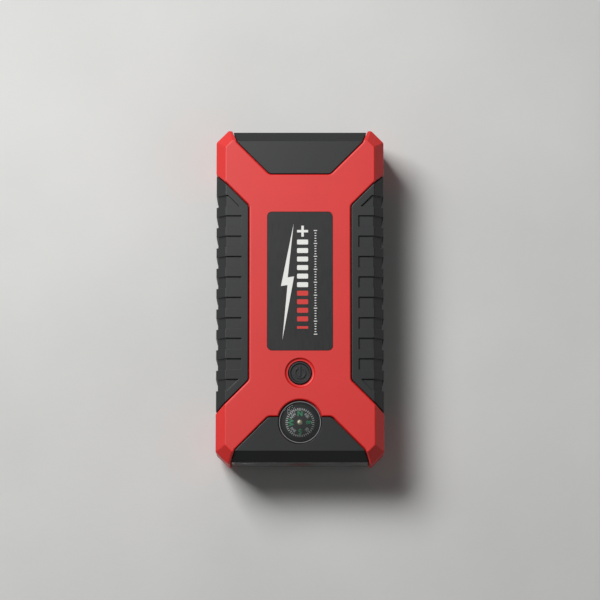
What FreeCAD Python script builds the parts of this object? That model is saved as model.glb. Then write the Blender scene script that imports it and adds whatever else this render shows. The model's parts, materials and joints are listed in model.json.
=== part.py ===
"""A pocket jump starter: two ribbed shells round a lithium pack, with lamps and ports at its ends.

The origin is at the middle of the footprint, where the feet stand. +Z is up, +Y points to the port end
and -Y to the lamp end. Everything is in millimetres.
"""

import FreeCAD, Part
import math
import os

import Sketcher

V = FreeCAD.Vector

# ---------------------------------------------------------------------------------------------
# Driving dimensions. Each becomes one cell of the spreadsheet, and every shape is bound to them.
# ---------------------------------------------------------------------------------------------
DIMENSIONS = {
    # case
    "body_length": 170.0,
    "body_width": 85.0,
    "body_height": 39.0,
    "foot_proud": 0.8,
    "corner_cut": 6.2,
    "side_run": 4.8,
    "end_run": 5.8,
    "bevel_drop": 6.0,
    "wall": 2.2,
    "recess_depth": 2.4,
    "edge_round": 0.85,
    "seam_width": 0.5,
    "seam_depth": 0.4,
    "fit_gap": 0.05,
    "reveal_gap": 0.3,
    "seat_play": 0.1,
    # side grips
    "grip_inner_x": 26.0,
    "grip_centre_y": 1.3,
    "grip_inner_half": 44.3,
    "grip_sink": 0.15,
    "grip_round": 0.4,
    "rib_count": 10,
    "rib_pitch": 10.4,
    "pocket_width": 5.7,
    "pocket_depth": 0.9,
    "pocket_inner_x": 27.9,
    "pocket_corner": 1.3,
    "pocket_rim": 3.6,
    # end trims
    "trim_sink": 0.8,
    "trim_round": 0.35,
    "trim_flare": 2.6,
    "trim_bend": 1.0,
    "trim_lip": 0.7,
    "plan_round": 2.8,
    "rear_trim_reach": 23.0,
    "rear_trim_inner_half": 15.4,
    "front_trim_reach": 23.2,
    "front_trim_inner_half": 16.0,
    # label plates
    "label_width": 33.0,
    "label_length": 70.5,
    "label_y": 7.1,
    "label_corner": 2.4,
    "label_sink": 0.6,
    "label_thick": 0.4,
    "label_play": 0.3,
    "rating_length": 58.0,
    # power button
    "button_y": -39.5,
    "button_radius": 5.7,
    "button_gap": 0.45,
    "button_dish_radius": 7.7,
    "button_dish_depth": 0.9,
    "button_dish_slope": 1.1,
    "button_flange": 1.2,
    "button_flange_thick": 1.0,
    "button_travel": 0.6,
    "sign_radius": 2.6,
    "sign_stroke": 0.85,
    "sign_gap": 1.0,
    "sign_bar_low": -1.9,
    "sign_bar_high": 3.7,
    "sign_sink": 0.05,
    "switch_size": 6.0,
    "switch_height": 3.4,
    "plunger_radius": 1.7,
    "plunger_height": 1.4,
    "switch_board_width": 26.0,
    "switch_board_length": 18.0,
    "board_thick": 1.2,
    # compass
    "compass_inset": 20.6,
    "capsule_radius": 9.9,
    "capsule_height": 8.4,
    "capsule_wall": 0.8,
    "collar_radius": 11.3,
    "ring_radius": 10.8,
    "card_radius": 7.7,
    "card_thick": 0.5,
    "pivot_radius": 0.45,
    "jewel_radius": 1.5,
    "dome_rise": 1.1,
    "dome_thick": 1.2,
    # lamps
    "lamp_x": 21.6,
    "lamp_radius": 9.3,
    "warning_radius": 7.0,
    "lamp_dome_rise": 0.75,
    "window_thick": 1.5,
    "reflector_wall": 0.6,
    "reflector_depth": 8.5,
    "carrier_depth": 10.0,
    "lamp_dome_radius": 2.2,
    "lamp_base_thick": 1.0,
    "flange_rim": 0.8,
    "pilot_depth": 4.0,
    # ports
    "bay_left_x": -6.5,
    "bay_depth": 3.6,
    "port_z": 21.2,
    "usb_width": 13.2,
    "usb_height": 15.6,
    "usb_length": 17.5,
    "usb_skin": 0.35,
    "usb_port_height": 5.2,
    "usb_row_gap": 2.4,
    "tongue_thick": 1.8,
    "tongue_length": 9.0,
    "jack_width": 7.0,
    "jack_height": 7.6,
    "jack_length": 14.0,
    "jack_floor": 3.0,
    "jack_bore": 3.0,
    "jack_pin_radius": 1.0,
    "jump_x": -18.6,
    "jump_width": 19.0,
    "jump_height": 12.5,
    "jump_depth": 17.0,
    "jump_mouth_depth": 8.0,
    "jump_skin": 1.3,
    "jump_pitch": 9.4,
    "jump_collar": 1.2,
    "jump_collar_thick": 2.0,
    "contact_radius": 3.1,
    "contact_bore": 2.5,
    "contact_length": 17.0,
    "contact_bore_depth": 8.0,
    "lead_cup": 5.0,
    # covers
    "cover_thick": 2.2,
    "cover_gap": 0.35,
    "knuckle_radius": 1.5,
    "pin_radius": 0.6,
    "pin_play": 0.05,
    "pin_bite": 0.4,
    "cap_thick": 1.4,
    "cap_height": 15.8,
    "cap_plug_depth": 2.2,
    "cap_plug_play": 0.35,
    "cap_play": 0.3,
    # battery and electronics
    "cell_width": 58.0,
    "cell_length": 104.0,
    "cell_thick": 7.0,
    "cell_gap": 0.4,
    "cell_count": 3,
    "cell_round": 2.0,
    "battery_front_y": -62.0,
    "tab_width": 9.0,
    "tab_thick": 0.3,
    "tab_length": 4.5,
    "strap_width": 12.0,
    "strap_thick": 0.3,
    "lead_radius": 2.4,
    "fine_lead_radius": 0.8,
    # fasteners and feet
    "boss_x": 34.4,
    "boss_inset": 22.5,
    "boss_radius": 3.6,
    "screw_radius": 1.3,
    "screw_head_radius": 2.4,
    "screw_head_height": 1.6,
    "screw_length": 16.0,
    "screw_seat": 9.0,
    "screw_play": 0.1,
    "foot_x": 23.0,
    "foot_y": 54.5,
    "foot_radius": 5.0,
    "foot_thick": 1.8,
    "foot_soft": 0.4,
    "small_screw_radius": 0.9,
    "small_screw_length": 4.5,
    "small_head_radius": 1.7,
    "small_head_height": 0.8,
    "post_radius": 2.4,
    "board_post_left": -4.0,
    "board_post_right": 27.0,
    "board_post_front": 49.5,
    "board_post_rear": 60.5,
    "board_seat": 12.2,
    "switch_post_x": 10.0,
    "button_drop": 7.6,
    "button_sink": 0.35,
    "button_rim": 0.9,
    "ring_sink": 0.7,
    "ring_soft": 0.3,
    "panel_margin": 0.1,
    "panel_corner": 1.2,
    "opening_margin": 4.4,
    "opening_seat": 1.9,
    "bowl_radius": 9.8,
    "lamp_post_x": 10.9,
    "lamp_post_z": 6.5,
    "bay_rim": 0.6,
    "bay_wall": 1.9,
    "bay_side": 0.6,
    "connector_proud": 0.4,
    "usb_left_x": 1.0,
    "usb_right_x": 15.8,
    "jack_x": 27.5,
    "jack_pitch": 8.0,
    "lug_length": 2.4,
    "lip_width": 12.0,
    "lip_proud": 0.75,
    "jump_z": 18.9,
    "jump_key": 2.0,
    "contact_proud": 1.2,
    "cap_overlap": 0.8,
    "cap_recess": 0.7,
    "cap_corner": 1.2,
    "cap_barrel_radius": 0.95,
    "cap_barrel_proud": 0.75,
    "cap_pin_radius": 0.45,
    "cap_lug": 1.6,
    "level_width": 16.0,
    "level_height": 2.0,
    "level_z": 28.95,
    "tab_outer_x": -24.0,
    "tab_inner_x": -11.0,
    "strap_front_y": -28.0,
    "strap_rear_y": 8.0,
    "board_margin": 3.0,
    "can_radius": 4.0,
    "can_height": 11.0,
    "can_first_x": 1.5,
    "can_pitch": 9.5,
    "can_y": 54.0,
    "lamp_lead_x": 22.0,
    "cell_rest_front": -45.0,
    "cell_rest_rear": 30.0,
}

# A slanted edge's corner moves this many times further than the edge when an outline grows.
MITRE = 1.2
# tan(22.5 degrees): how far the corner between a straight and a 45 degree edge slides along the straight one.
HALF_MITRE = math.tan(math.radians(22.5))
SPILL = 5.0  # how far the cutting solids reach past the case
LEAST_TURN = 15.0  # degrees: gentler edges than this are left as they are
PROBE = 0.05  # how far each side of an edge is tested for material
OVERRUN = 1.0  # how far a cutter runs past what it cuts
BITE = 0.5  # how far a piece reaches into the one it is joined to

doc = FreeCAD.newDocument("jump_starter")
sheet = doc.addObject("Spreadsheet::Sheet", "Sizes")
for row, (alias, number) in enumerate(DIMENSIONS.items(), start=1):
    sheet.set(f"A{row}", alias)
    sheet.set(f"B{row}", str(number))
    sheet.setAlias(f"B{row}", alias)
doc.recompute()


class Size:
    """A number from the sheet, or worked out from it, with the expression text that FreeCAD keeps for it."""

    def __init__(self, value, text):
        self.value = float(value)
        self.text = text

    def _with(self, other, sign, value, swapped=False):
        right = other.text if isinstance(other, Size) else repr(float(other))
        left = self.text
        if swapped:
            left, right = right, left
        return Size(value, f"({left} {sign} {right})")

    def __add__(self, other):
        return self._with(other, "+", self.value + number_of(other))

    __radd__ = __add__

    def __sub__(self, other):
        return self._with(other, "-", self.value - number_of(other))

    def __rsub__(self, other):
        return self._with(other, "-", number_of(other) - self.value, swapped=True)

    def __mul__(self, other):
        return self._with(other, "*", self.value * number_of(other))

    __rmul__ = __mul__

    def __truediv__(self, other):
        return self._with(other, "/", self.value / number_of(other))

    def __neg__(self):
        return Size(-self.value, f"(0 - {self.text})")


def number_of(size):
    """The plain number of a Size or of a number."""
    return size.value if isinstance(size, Size) else float(size)


def root(size):
    """The square root of a Size."""
    return Size(math.sqrt(size.value), f"sqrt({size.text})")


class Sheet:
    """Reads the spreadsheet's cells by their alias, as Size objects."""

    def __getattr__(self, alias):
        return Size(getattr(sheet, alias), f"Sizes.{alias}")


S = Sheet()


def bind(thing, prop, size):
    """Sets a property, and keeps it bound to the sheet when the size comes from there."""
    if isinstance(size, Size):
        thing.setExpression(prop, size.text)
    elif prop.startswith("Placement.Base") or prop.startswith("AttachmentOffset.Base"):
        thing.setExpression(prop, repr(float(size)))
    else:
        setattr(thing, prop, size)


# ---------------------------------------------------------------------------------------------
# Sketching and feature helpers
# ---------------------------------------------------------------------------------------------
ORIGIN = -1  # the sketch's own origin, in Sketcher's numbering
COUNT = {"n": 0}


def unique(stem):
    """A name for the document that no other feature has."""
    COUNT["n"] += 1
    return f"{stem}_{COUNT['n']}"


def new_body(label):
    """An empty PartDesign body whose label names its file."""
    made = doc.addObject("PartDesign::Body", unique("body"))
    made.Label = label
    return made


def sketch_on(body, plane, height=0.0):
    """A sketch on one of the body's origin planes, lifted along that plane's normal."""
    made = body.newObject("Sketcher::SketchObject", unique("sketch"))
    support = next(f for f in body.Origin.OriginFeatures if f.Role == plane)
    made.AttachmentSupport = [(support, "")]
    made.MapMode = "FlatFace"
    bind(made, "AttachmentOffset.Base.z", height)
    return made


def pin_down(sketch, kind, geometry, point, size):
    """Fixes one coordinate of a point from the sketch's origin."""
    index = sketch.addConstraint(Sketcher.Constraint(kind, ORIGIN, 1, geometry, point, number_of(size)))
    if isinstance(size, Size):
        sketch.setExpression(f"Constraints[{index}]", size.text)


def draw_polygon(sketch, points):
    """A closed outline of straight edges through points, each pinned by its two coordinates."""
    first = sketch.GeometryCount
    total = len(points)
    for i, (x, y) in enumerate(points):
        x2, y2 = points[(i + 1) % total]
        start = V(number_of(x), number_of(y), 0)
        end = V(number_of(x2), number_of(y2), 0)
        sketch.addGeometry(Part.LineSegment(start, end))
    for i in range(total):
        sketch.addConstraint(Sketcher.Constraint("Coincident", first + i, 2, first + (i + 1) % total, 1))
    for i, (x, y) in enumerate(points):
        pin_down(sketch, "DistanceX", first + i, 1, x)
        pin_down(sketch, "DistanceY", first + i, 1, y)


def rectangle(x_low, y_low, x_high, y_high):
    """Corner points of a rectangle."""
    return [(x_low, y_low), (x_high, y_low), (x_high, y_high), (x_low, y_high)]


def centred(x, y, width, height):
    """Corner points of a rectangle about its centre."""
    return rectangle(x - width / 2, y - height / 2, x + width / 2, y + height / 2)


def pad(body, outlines, plane, low, high):
    """Adds the outlines' area between two heights along the plane's normal."""
    sketch = sketch_on(body, plane, low)
    for outline in outlines:
        draw_polygon(sketch, outline)
    feature = body.newObject("PartDesign::Pad", unique("pad"))
    feature.Profile = sketch
    bind(feature, "Length", high - low)
    return feature


def pocket(body, outlines, plane, low, high):
    """Cuts the outlines' area between two heights along the plane's normal."""
    sketch = sketch_on(body, plane, low)
    for outline in outlines:
        draw_polygon(sketch, outline)
    feature = body.newObject("PartDesign::Pocket", unique("pocket"))
    feature.Profile = sketch
    feature.Reversed = True
    bind(feature, "Length", high - low)
    return feature


def revolve(body, points, plane="XZ_Plane", axis="V_Axis"):
    """Turns a half outline round one of its sketch's axes."""
    sketch = sketch_on(body, plane)
    draw_polygon(sketch, points)
    feature = body.newObject("PartDesign::Revolution", unique("turned"))
    feature.Profile = sketch
    feature.ReferenceAxis = (sketch, [axis])
    feature.Angle = 360.0
    return feature


def fillet(body, base, edges, radius):
    """A PartDesign fillet on the named edges of a feature."""
    feature = body.newObject("PartDesign::Fillet", unique("fillet"))
    feature.Base = (base, edges)
    bind(feature, "Radius", radius)


def edges_where(shape, test):
    """Names of a shape's edges that pass a test."""
    return [f"Edge{i}" for i, edge in enumerate(shape.Edges, start=1) if test(edge)]


def runs_along(edge, direction):
    """True for a straight edge along a direction."""
    if edge.Curve.TypeId != "Part::GeomLine":
        return False
    return abs(abs(edge.Curve.Direction.dot(direction)) - 1) < 1e-6


def upright_edge(edge):
    """True for a straight edge along Z."""
    return runs_along(edge, V(0, 0, 1))


def place(thing, x=0.0, y=0.0, z=0.0):
    """Moves a piece, which is drawn round its own origin, to its place in the case."""
    for letter, size in (("x", x), ("y", y), ("z", z)):
        bind(thing, f"Placement.Base.{letter}", size)
    return thing


def slab(label, x_low, y_low, z_low, x_high, y_high, z_high):
    """A Part box between two corners."""
    made = doc.addObject("Part::Box", unique("box"))
    made.Label = label
    bind(made, "Length", x_high - x_low)
    bind(made, "Width", y_high - y_low)
    bind(made, "Height", z_high - z_low)
    return place(made, x_low, y_low, z_low)


def rod(label, x, y, z, radius, length, direction=(0, 0, 1)):
    """A Part cylinder from a point along a direction."""
    made = doc.addObject("Part::Cylinder", unique("rod"))
    made.Label = label
    bind(made, "Radius", radius)
    bind(made, "Height", length)
    made.Placement = FreeCAD.Placement(V(0, 0, 0), FreeCAD.Rotation(V(0, 0, 1), V(*direction)))
    return place(made, x, y, z)


def cut(label, base, *tools):
    """Base less its tools."""
    tool = tools[0] if len(tools) == 1 else join(label + "_tools", *tools)
    made = doc.addObject("Part::Cut", unique("cut"))
    made.Label = label
    made.Base = base
    made.Tool = tool
    return made


def join(label, *things):
    """Several solids as one."""
    made = doc.addObject("Part::MultiFuse", unique("fuse"))
    made.Label = label
    made.Shapes = list(things)
    return made


def common(label, first, second):
    """What two solids share."""
    made = doc.addObject("Part::MultiCommon", unique("common"))
    made.Label = label
    made.Shapes = [first, second]
    return made


def prism(label, outlines, low, high, plane="XY_Plane"):
    """A body padded from outlines between two heights."""
    made = new_body(label)
    pad(made, outlines, plane, low, high)
    return made


def normal_at(face, point):
    """A face's outward normal beside a point."""
    u, v = face.Surface.parameter(point)
    return face.normalAt(u, v)


def is_outward(shape, edge):
    """True for an edge whose two faces turn away from each other by more than a few degrees."""
    faces = shape.ancestorsOfType(edge, Part.Face)
    if len(faces) != 2:
        return False
    middle = edge.valueAt((edge.FirstParameter + edge.LastParameter) / 2)
    first, second = (normal_at(face, middle) for face in faces)
    if first.getAngle(second) < math.radians(LEAST_TURN):
        return False
    outward = (first + second).normalize() * PROBE
    return shape.isInside(middle - outward, 1e-4, False) and not shape.isInside(middle + outward, 1e-4, False)


def rounded(label, base, radius, test):
    """A Part fillet of one radius on the outward edges that pass a test. The base is recomputed first."""
    doc.recompute()
    made = doc.addObject("Part::Fillet", unique("fillet"))
    made.Label = label
    made.Base = base
    size = number_of(radius)
    shape = base.Shape
    chosen = [i for i, edge in enumerate(shape.Edges, start=1) if test(edge) and is_outward(shape, edge)]
    made.Edges = [(i, size, size) for i in chosen]
    return made


NODES = []


def keep(thing):
    """Marks a piece as one of the object's own, to be written to parts/."""
    NODES.append(thing)


# ---------------------------------------------------------------------------------------------
# Levels that many pieces share
# ---------------------------------------------------------------------------------------------
base_z = S.foot_proud
top_z = S.foot_proud + S.body_height
mid_z = S.foot_proud + S.body_height / 2
half_width = S.body_width / 2
half_length = S.body_length / 2
bevel_y = half_length - S.end_run
boss_y = half_length - S.boss_inset
compass_y = S.compass_inset - half_length
straight_half = S.body_height / 2 - S.bevel_drop  # half height of the upright walls


# ---------------------------------------------------------------------------------------------
# The case's envelope: an eight-sided block with bevelled top and bottom edges
# ---------------------------------------------------------------------------------------------
def octagon(x, y, corner):
    """Eight corner points of a rectangle of half sizes x and y with cut corners."""
    return [
        (x, y - corner), (x - corner, y), (corner - x, y), (-x, y - corner),
        (-x, corner - y), (corner - x, -y), (x - corner, -y), (x, corner - y),
    ]


def envelope(label, inset):
    """The case's outer form, moved inwards by inset on every face."""
    side_slope = root(S.side_run * S.side_run + S.bevel_drop * S.bevel_drop)
    end_slope = root(S.end_run * S.end_run + S.bevel_drop * S.bevel_drop)
    corner_loss = 2 - math.sqrt(2)
    upright = straight_half - inset * ((side_slope - S.bevel_drop) / S.side_run)
    face_x = half_width - S.side_run - inset * ((side_slope - S.side_run) / S.bevel_drop)
    face_y = half_length - S.end_run - inset * ((end_slope - S.end_run) / S.bevel_drop)
    corner = S.corner_cut - inset * corner_loss
    face_corner = corner - S.side_run * corner_loss
    wide = octagon(half_width - inset, half_length - inset, corner)
    narrow = octagon(face_x, face_y, face_corner)
    made = new_body(label)
    middle = pad(made, [wide], "XY_Plane", mid_z - upright, mid_z + upright)
    for side in (1, -1):
        near = sketch_on(made, "XY_Plane", mid_z + side * upright)
        draw_polygon(near, wide)
        far = sketch_on(made, "XY_Plane", mid_z + side * (S.body_height / 2 - inset))
        draw_polygon(far, narrow)
        bevel = made.newObject("PartDesign::AdditiveLoft", unique("bevel"))
        bevel.Profile = near
        bevel.Sections = [far]
        bevel.Ruled = True
        middle = bevel
    return made, middle


def grip_outline(side, grow):
    """Plan of one side grip: a straight inner edge with a 45 degree slope at each end."""
    inner = S.grip_inner_x - grow
    short = S.grip_inner_half + grow * HALF_MITRE
    outer = half_width + SPILL
    long = short + (outer - inner)
    points = [
        (inner, S.grip_centre_y - short), (outer, S.grip_centre_y - long),
        (outer, S.grip_centre_y + long), (inner, S.grip_centre_y + short),
    ]
    return [(side * x, y) for x, y in points]


def trim_outline(end, grow):
    """Plan of one end trim: a trapezoid with 45 degree sides that flares a little over the bevel."""
    inner_y = half_length - (S.rear_trim_reach if end > 0 else S.front_trim_reach)
    inner_half = S.rear_trim_inner_half if end > 0 else S.front_trim_inner_half
    bend_y = bevel_y - S.trim_bend
    mouth = inner_half + (bend_y - inner_y)
    short = inner_half + grow * HALF_MITRE
    wide = mouth + grow * MITRE
    edge = mouth + S.trim_flare + grow
    past = half_length + SPILL
    points = [
        (-short, inner_y - grow), (short, inner_y - grow), (wide, bend_y), (edge, half_length),
        (edge, past), (-edge, past), (-edge, half_length), (-wide, bend_y),
    ]
    return [(x, end * y) for x, y in points]


def plan_area(label, outline, grow):
    """An outline through the whole case height; its two innermost corners are rounded, and grow too."""
    made = new_body(label)
    block = pad(made, [outline], "XY_Plane", base_z - SPILL, top_z + SPILL)
    doc.recompute()
    reach = [math.hypot(number_of(x), number_of(y)) for x, y in outline]
    nearest = sorted(reach)[1] + PROBE

    def is_inner(edge):
        point = edge.Vertexes[0].Point
        return upright_edge(edge) and math.hypot(point.x, point.y) < nearest

    fillet(made, block, edges_where(block.Shape, is_inner), S.plan_round + grow)
    return made


def grip_area(label, side, grow):
    """The plan area of one grip, grown on every edge."""
    return plan_area(label, grip_outline(side, grow), grow)


def trim_area(label, end, grow):
    """The plan area of one end's trims, grown on every edge."""
    return plan_area(label, trim_outline(end, grow), grow)


def recess_plans(label, grow):
    """The four plan areas that the grips and trims take, grown on every edge, as one solid."""
    areas = [grip_area(f"{label}_grip_{s}", s, grow) for s in (1, -1)]
    areas += [trim_area(f"{label}_trim_{s}", s, grow) for s in (1, -1)]
    return join(label, *areas)


def spin_body(label, points, axis="up"):
    """A body turned from a half outline: (radius, z) points about Z, or (y, radius) points about Y."""
    made = new_body(label)
    if axis == "up":
        revolve(made, points, "XZ_Plane", "V_Axis")
    else:
        revolve(made, points, "YZ_Plane", "H_Axis")
    return made


def tube(x, z, radius, y_low, y_high, label="bore"):
    """A rod along Y between two depths."""
    return rod(label, x, y_low, z, radius, y_high - y_low, direction=(0, 1, 0))


def bar_along(label, x, z, width, height, y_low, y_high, grow=0.0):
    """A square bar along Y between two depths, centred at x and z and grown on its four sides."""
    half_x = width / 2 + grow
    half_z = height / 2 + grow
    return slab(label, x - half_x, y_low, z - half_z, x + half_x, y_high, z + half_z)


# ---------------------------------------------------------------------------------------------
# The moulded case: block, recesses, cavity, openings, bosses
# ---------------------------------------------------------------------------------------------
recess_top = top_z - S.recess_depth
inner_top = top_z - S.wall
inner_floor = base_z + S.wall
seat_y = half_length - S.recess_depth  # the shelf that the end panels sit on
lip_high = mid_z + straight_half - S.trim_lip  # lower edge of the upper trim on the end face
lip_low = mid_z - straight_half + S.trim_lip
panel_high = lip_high - S.reveal_gap
panel_low = lip_low + S.reveal_gap
opening_x = half_width - S.corner_cut - S.opening_margin
opening_high = panel_high - S.opening_seat
opening_low = panel_low + S.opening_seat


def compass_well(radius, low, high):
    """The round well that the compass stands in."""
    return rod("compass_well", 0.0, compass_y, low, radius, high - low)


def sunken(label, grow, depth):
    """Everything that the grips, the trims and the compass take out of the case, down to a depth."""
    plans = recess_plans(label + "_plans", grow)
    well = compass_well(S.collar_radius + grow - S.reveal_gap, mid_z, top_z + SPILL)
    floor, _ = envelope(label + "_floor", depth)
    return cut(label, join(label + "_areas", plans, well), floor)


def on_skin(inset):
    """A test for edges that lie on the case's outer form, moved inwards by inset."""
    side_slope = math.hypot(S.side_run.value, S.bevel_drop.value)
    end_slope = math.hypot(S.end_run.value, S.bevel_drop.value)
    depth = number_of(inset)

    def test(edge):
        middle = edge.valueAt((edge.FirstParameter + edge.LastParameter) / 2)
        from_side = half_width.value - abs(middle.x)
        from_end = half_length.value - abs(middle.y)
        from_level = S.body_height.value / 2 - abs(middle.z - mid_z.value)
        side_bevel = (from_side * S.bevel_drop.value + from_level * S.side_run.value) / side_slope
        end_bevel = (from_end * S.bevel_drop.value + from_level * S.end_run.value) / end_slope
        side_bevel -= S.side_run.value * S.bevel_drop.value / side_slope
        end_bevel -= S.end_run.value * S.bevel_drop.value / end_slope
        nearest = min(from_side, from_end, from_level, side_bevel, end_bevel)
        return abs(nearest - depth) < 0.02

    return test


case_form, _ = envelope("case_form", 0.0)
recesses = sunken("recesses", S.reveal_gap, S.recess_depth)
carved_sharp = cut("carved_sharp", case_form, recesses)
carved = rounded("carved_case", carved_sharp, S.edge_round, on_skin(0.0))
cavity_form, _ = envelope("cavity_form", S.wall)
kept_walls = sunken("kept_walls", S.reveal_gap + S.wall, S.recess_depth + S.wall)
cavity = cut("cavity", cavity_form, kept_walls)

in_y = seat_y - SPILL
out_y = half_length + SPILL
end_openings = join(
    "end_openings",
    slab("rear_opening", -opening_x, in_y, opening_low, opening_x, out_y, opening_high),
    slab("front_opening", -opening_x, -out_y, opening_low, opening_x, -in_y, opening_high),
)
seam_band = prism(
    "seam_band", [centred(0.0, 0.0, S.body_width + SPILL, S.body_length + SPILL)],
    mid_z - S.seam_width / 2, mid_z + S.seam_width / 2,
)
seam_core, _ = envelope("seam_core", S.seam_depth)
seam = cut("seam", seam_band, seam_core)


def rounded_plate(label, width, length, corner, y, low, high):
    """A flat plate with rounded corners."""
    made = new_body(label)
    flat = pad(made, [centred(0.0, y, width, length)], "XY_Plane", low, high)
    doc.recompute()
    fillet(made, flat, edges_where(flat.Shape, upright_edge), corner)
    return made


BOSS_PLACES = [(sx * S.boss_x, sy * boss_y) for sx in (-1, 1) for sy in (-1, 1)]
FOOT_PLACES = [(sx * S.foot_x, sy * S.foot_y) for sx in (-1, 1) for sy in (-1, 1)]
BOARD_POSTS = [
    (x, y) for x in (S.board_post_left, S.board_post_right) for y in (S.board_post_front, S.board_post_rear)
]
SWITCH_POSTS = [(sx * S.switch_post_x, S.button_y) for sx in (-1, 1)]
board_low = S.board_seat
switch_board_high = top_z - S.wall - S.button_drop
switch_board_low = switch_board_high - S.board_thick


def rods(label, places, low, high, radius):
    """Upright rods at several places, as one tool."""
    parts = [rod(f"{label}_{i}", x, y, low, radius, high - low) for i, (x, y) in enumerate(places)]
    return join(label, *parts)


def hollow_shell():
    """The carved case with its cavity cut, its corner bosses and its board posts, before it is parted."""
    walls = cut("case_walls", carved, cavity)
    bosses = rods("bosses", BOSS_PLACES, base_z + BITE, top_z - BITE, S.boss_radius)
    posts = rods("board_posts", BOARD_POSTS, base_z + BITE, board_low, S.post_radius)
    hangers = rods("switch_posts", SWITCH_POSTS, switch_board_high, top_z - BITE, S.post_radius)
    ribs = [
        slab(f"cell_rest_{i}", -S.cell_width / 2, y - S.wall / 2, base_z + BITE,
             S.cell_width / 2, y + S.wall / 2, battery_low - S.cell_gap)
        for i, y in enumerate((S.cell_rest_front, S.cell_rest_rear))
    ]
    inside = common("inner_fittings", join("fittings", bosses, posts, hangers, *ribs), cavity_form)
    return join("hollow_case", walls, inside)


battery_low = base_z + S.wall + S.recess_depth + S.cell_gap
seat_width = S.label_width + S.label_play
label_seat = rounded_plate(
    "label_seat", seat_width, S.label_length + S.label_play, S.label_corner, S.label_y,
    top_z - S.label_sink, top_z + OVERRUN,
)
rating_seat = rounded_plate(
    "rating_seat", seat_width, S.rating_length + S.label_play, S.label_corner, 0.0,
    base_z - OVERRUN, base_z + S.label_sink,
)
button_hole = rod("button_hole", 0.0, S.button_y, mid_z, S.button_radius + S.button_gap, S.body_height)
dish_floor = top_z - S.button_dish_depth
button_dish = place(spin_body("button_dish", [
    (0.0, dish_floor), (S.button_dish_radius - S.button_dish_slope, dish_floor),
    (S.button_dish_radius - S.button_dish_slope * 0.6, dish_floor + S.button_dish_depth * 0.2),
    (S.button_dish_radius - S.button_dish_slope * 0.25, top_z - S.button_dish_depth * 0.35),
    (S.button_dish_radius, top_z), (S.button_dish_radius, top_z + OVERRUN), (0.0, top_z + OVERRUN),
]), 0.0, S.button_y)
capsule_hole = rod("capsule_hole", 0.0, compass_y, mid_z, S.capsule_radius + S.fit_gap, S.body_height)
foot_seats = rods(
    "foot_seats", FOOT_PLACES, base_z - OVERRUN, base_z + S.foot_thick - S.foot_proud,
    S.foot_radius + S.seat_play,
)
screw_tip = S.screw_seat + S.screw_length
screw_wells = rods("screw_wells", BOSS_PLACES, base_z - OVERRUN, S.screw_seat, S.screw_head_radius + 0.4)
screw_ways = rods("screw_ways", BOSS_PLACES, S.screw_seat - OVERRUN, mid_z, S.screw_radius + S.screw_play)
screw_pilots = rods("screw_pilots", BOSS_PLACES, mid_z - OVERRUN, screw_tip + OVERRUN, S.screw_radius)
board_pilots = rods(
    "board_pilots", BOARD_POSTS, base_z + S.wall + OVERRUN, board_low + OVERRUN, S.small_screw_radius,
)
switch_pilots = rods(
    "switch_pilots", SWITCH_POSTS, switch_board_high - OVERRUN, top_z - S.wall - 0.6, S.small_screw_radius,
)
case_hollow = hollow_shell()
case_cut = cut(
    "case_cut", case_hollow, recesses, end_openings, seam, label_seat, rating_seat, button_hole, button_dish,
    capsule_hole, foot_seats, screw_wells, screw_ways, screw_pilots, board_pilots, switch_pilots,
)


def half_space(label, upper):
    """A block over, or under, the parting plane."""
    low = mid_z if upper else base_z - SPILL
    high = top_z + SPILL if upper else mid_z
    return prism(label, [centred(0.0, 0.0, S.body_width + SPILL, S.body_length + SPILL)], low, high)


upper_shell = keep(common("upper_shell", case_cut, half_space("upper_space", True)))
lower_shell = keep(common("lower_shell", case_cut, half_space("lower_space", False)))

# ---------------------------------------------------------------------------------------------
# Soft side grips and end trims
# ---------------------------------------------------------------------------------------------
RIBS = range(int(S.rib_count.value))


def grip(side, label):
    """A C-shaped grip over one side, with a row of shallow pockets between its ribs."""
    area = grip_area(label + "_area", side, 0.0)
    skin, _ = envelope(label + "_skin", S.grip_sink)
    back, _ = envelope(label + "_back", S.recess_depth - S.fit_gap)
    sharp = cut(label + "_sharp", common(label + "_form", area, skin), back)
    blank = rounded(label + "_blank", sharp, S.grip_round, on_skin(S.grip_sink))
    field = prism(label + "_field", [grip_outline(side, -S.pocket_rim)], base_z - SPILL, top_z + SPILL)
    first = S.grip_centre_y - S.rib_pitch * (S.rib_count - 1) / 2
    outer = half_width + SPILL
    bars = []
    for i in RIBS:
        y = first + S.rib_pitch * i
        low, high = sorted((side * S.pocket_inner_x, side * outer), key=number_of)
        outline = rectangle(low, y - S.pocket_width / 2, high, y + S.pocket_width / 2)
        bar = new_body(f"{label}_bar_{i}")
        block = pad(bar, [outline], "XY_Plane", base_z - SPILL, top_z + SPILL)
        doc.recompute()
        fillet(bar, block, edges_where(block.Shape, upright_edge), S.pocket_corner)
        bars.append(bar)
    pockets = common(label + "_bars", join(label + "_all_bars", *bars), field)
    bed, _ = envelope(label + "_bed", S.grip_sink + S.pocket_depth)
    return cut(label, blank, cut(label + "_pockets", pockets, bed))


keep(grip(-1, "grip_left"))
keep(grip(1, "grip_right"))


def trim(end, upper, label):
    """One end trim: it lies on the flat, turns down the bevel and ends in a short lip on the end face."""
    area = trim_area(label + "_area", end, 0.0)
    skin, _ = envelope(label + "_skin", S.trim_sink)
    back, _ = envelope(label + "_back", S.recess_depth - S.fit_gap)
    ring = cut(label + "_ring", common(label + "_form", area, skin), back)
    low = lip_high if upper else base_z - OVERRUN
    high = top_z + OVERRUN if upper else lip_low
    reach = slab(label + "_reach", -half_width, -half_length, low, half_width, half_length, high)
    return common(label + "_sharp", ring, reach)


def soft_trim(end, upper, label):
    """An end trim with its outer edges rounded."""
    return rounded(label, trim(end, upper, label), S.trim_round, on_skin(S.trim_sink))


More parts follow.
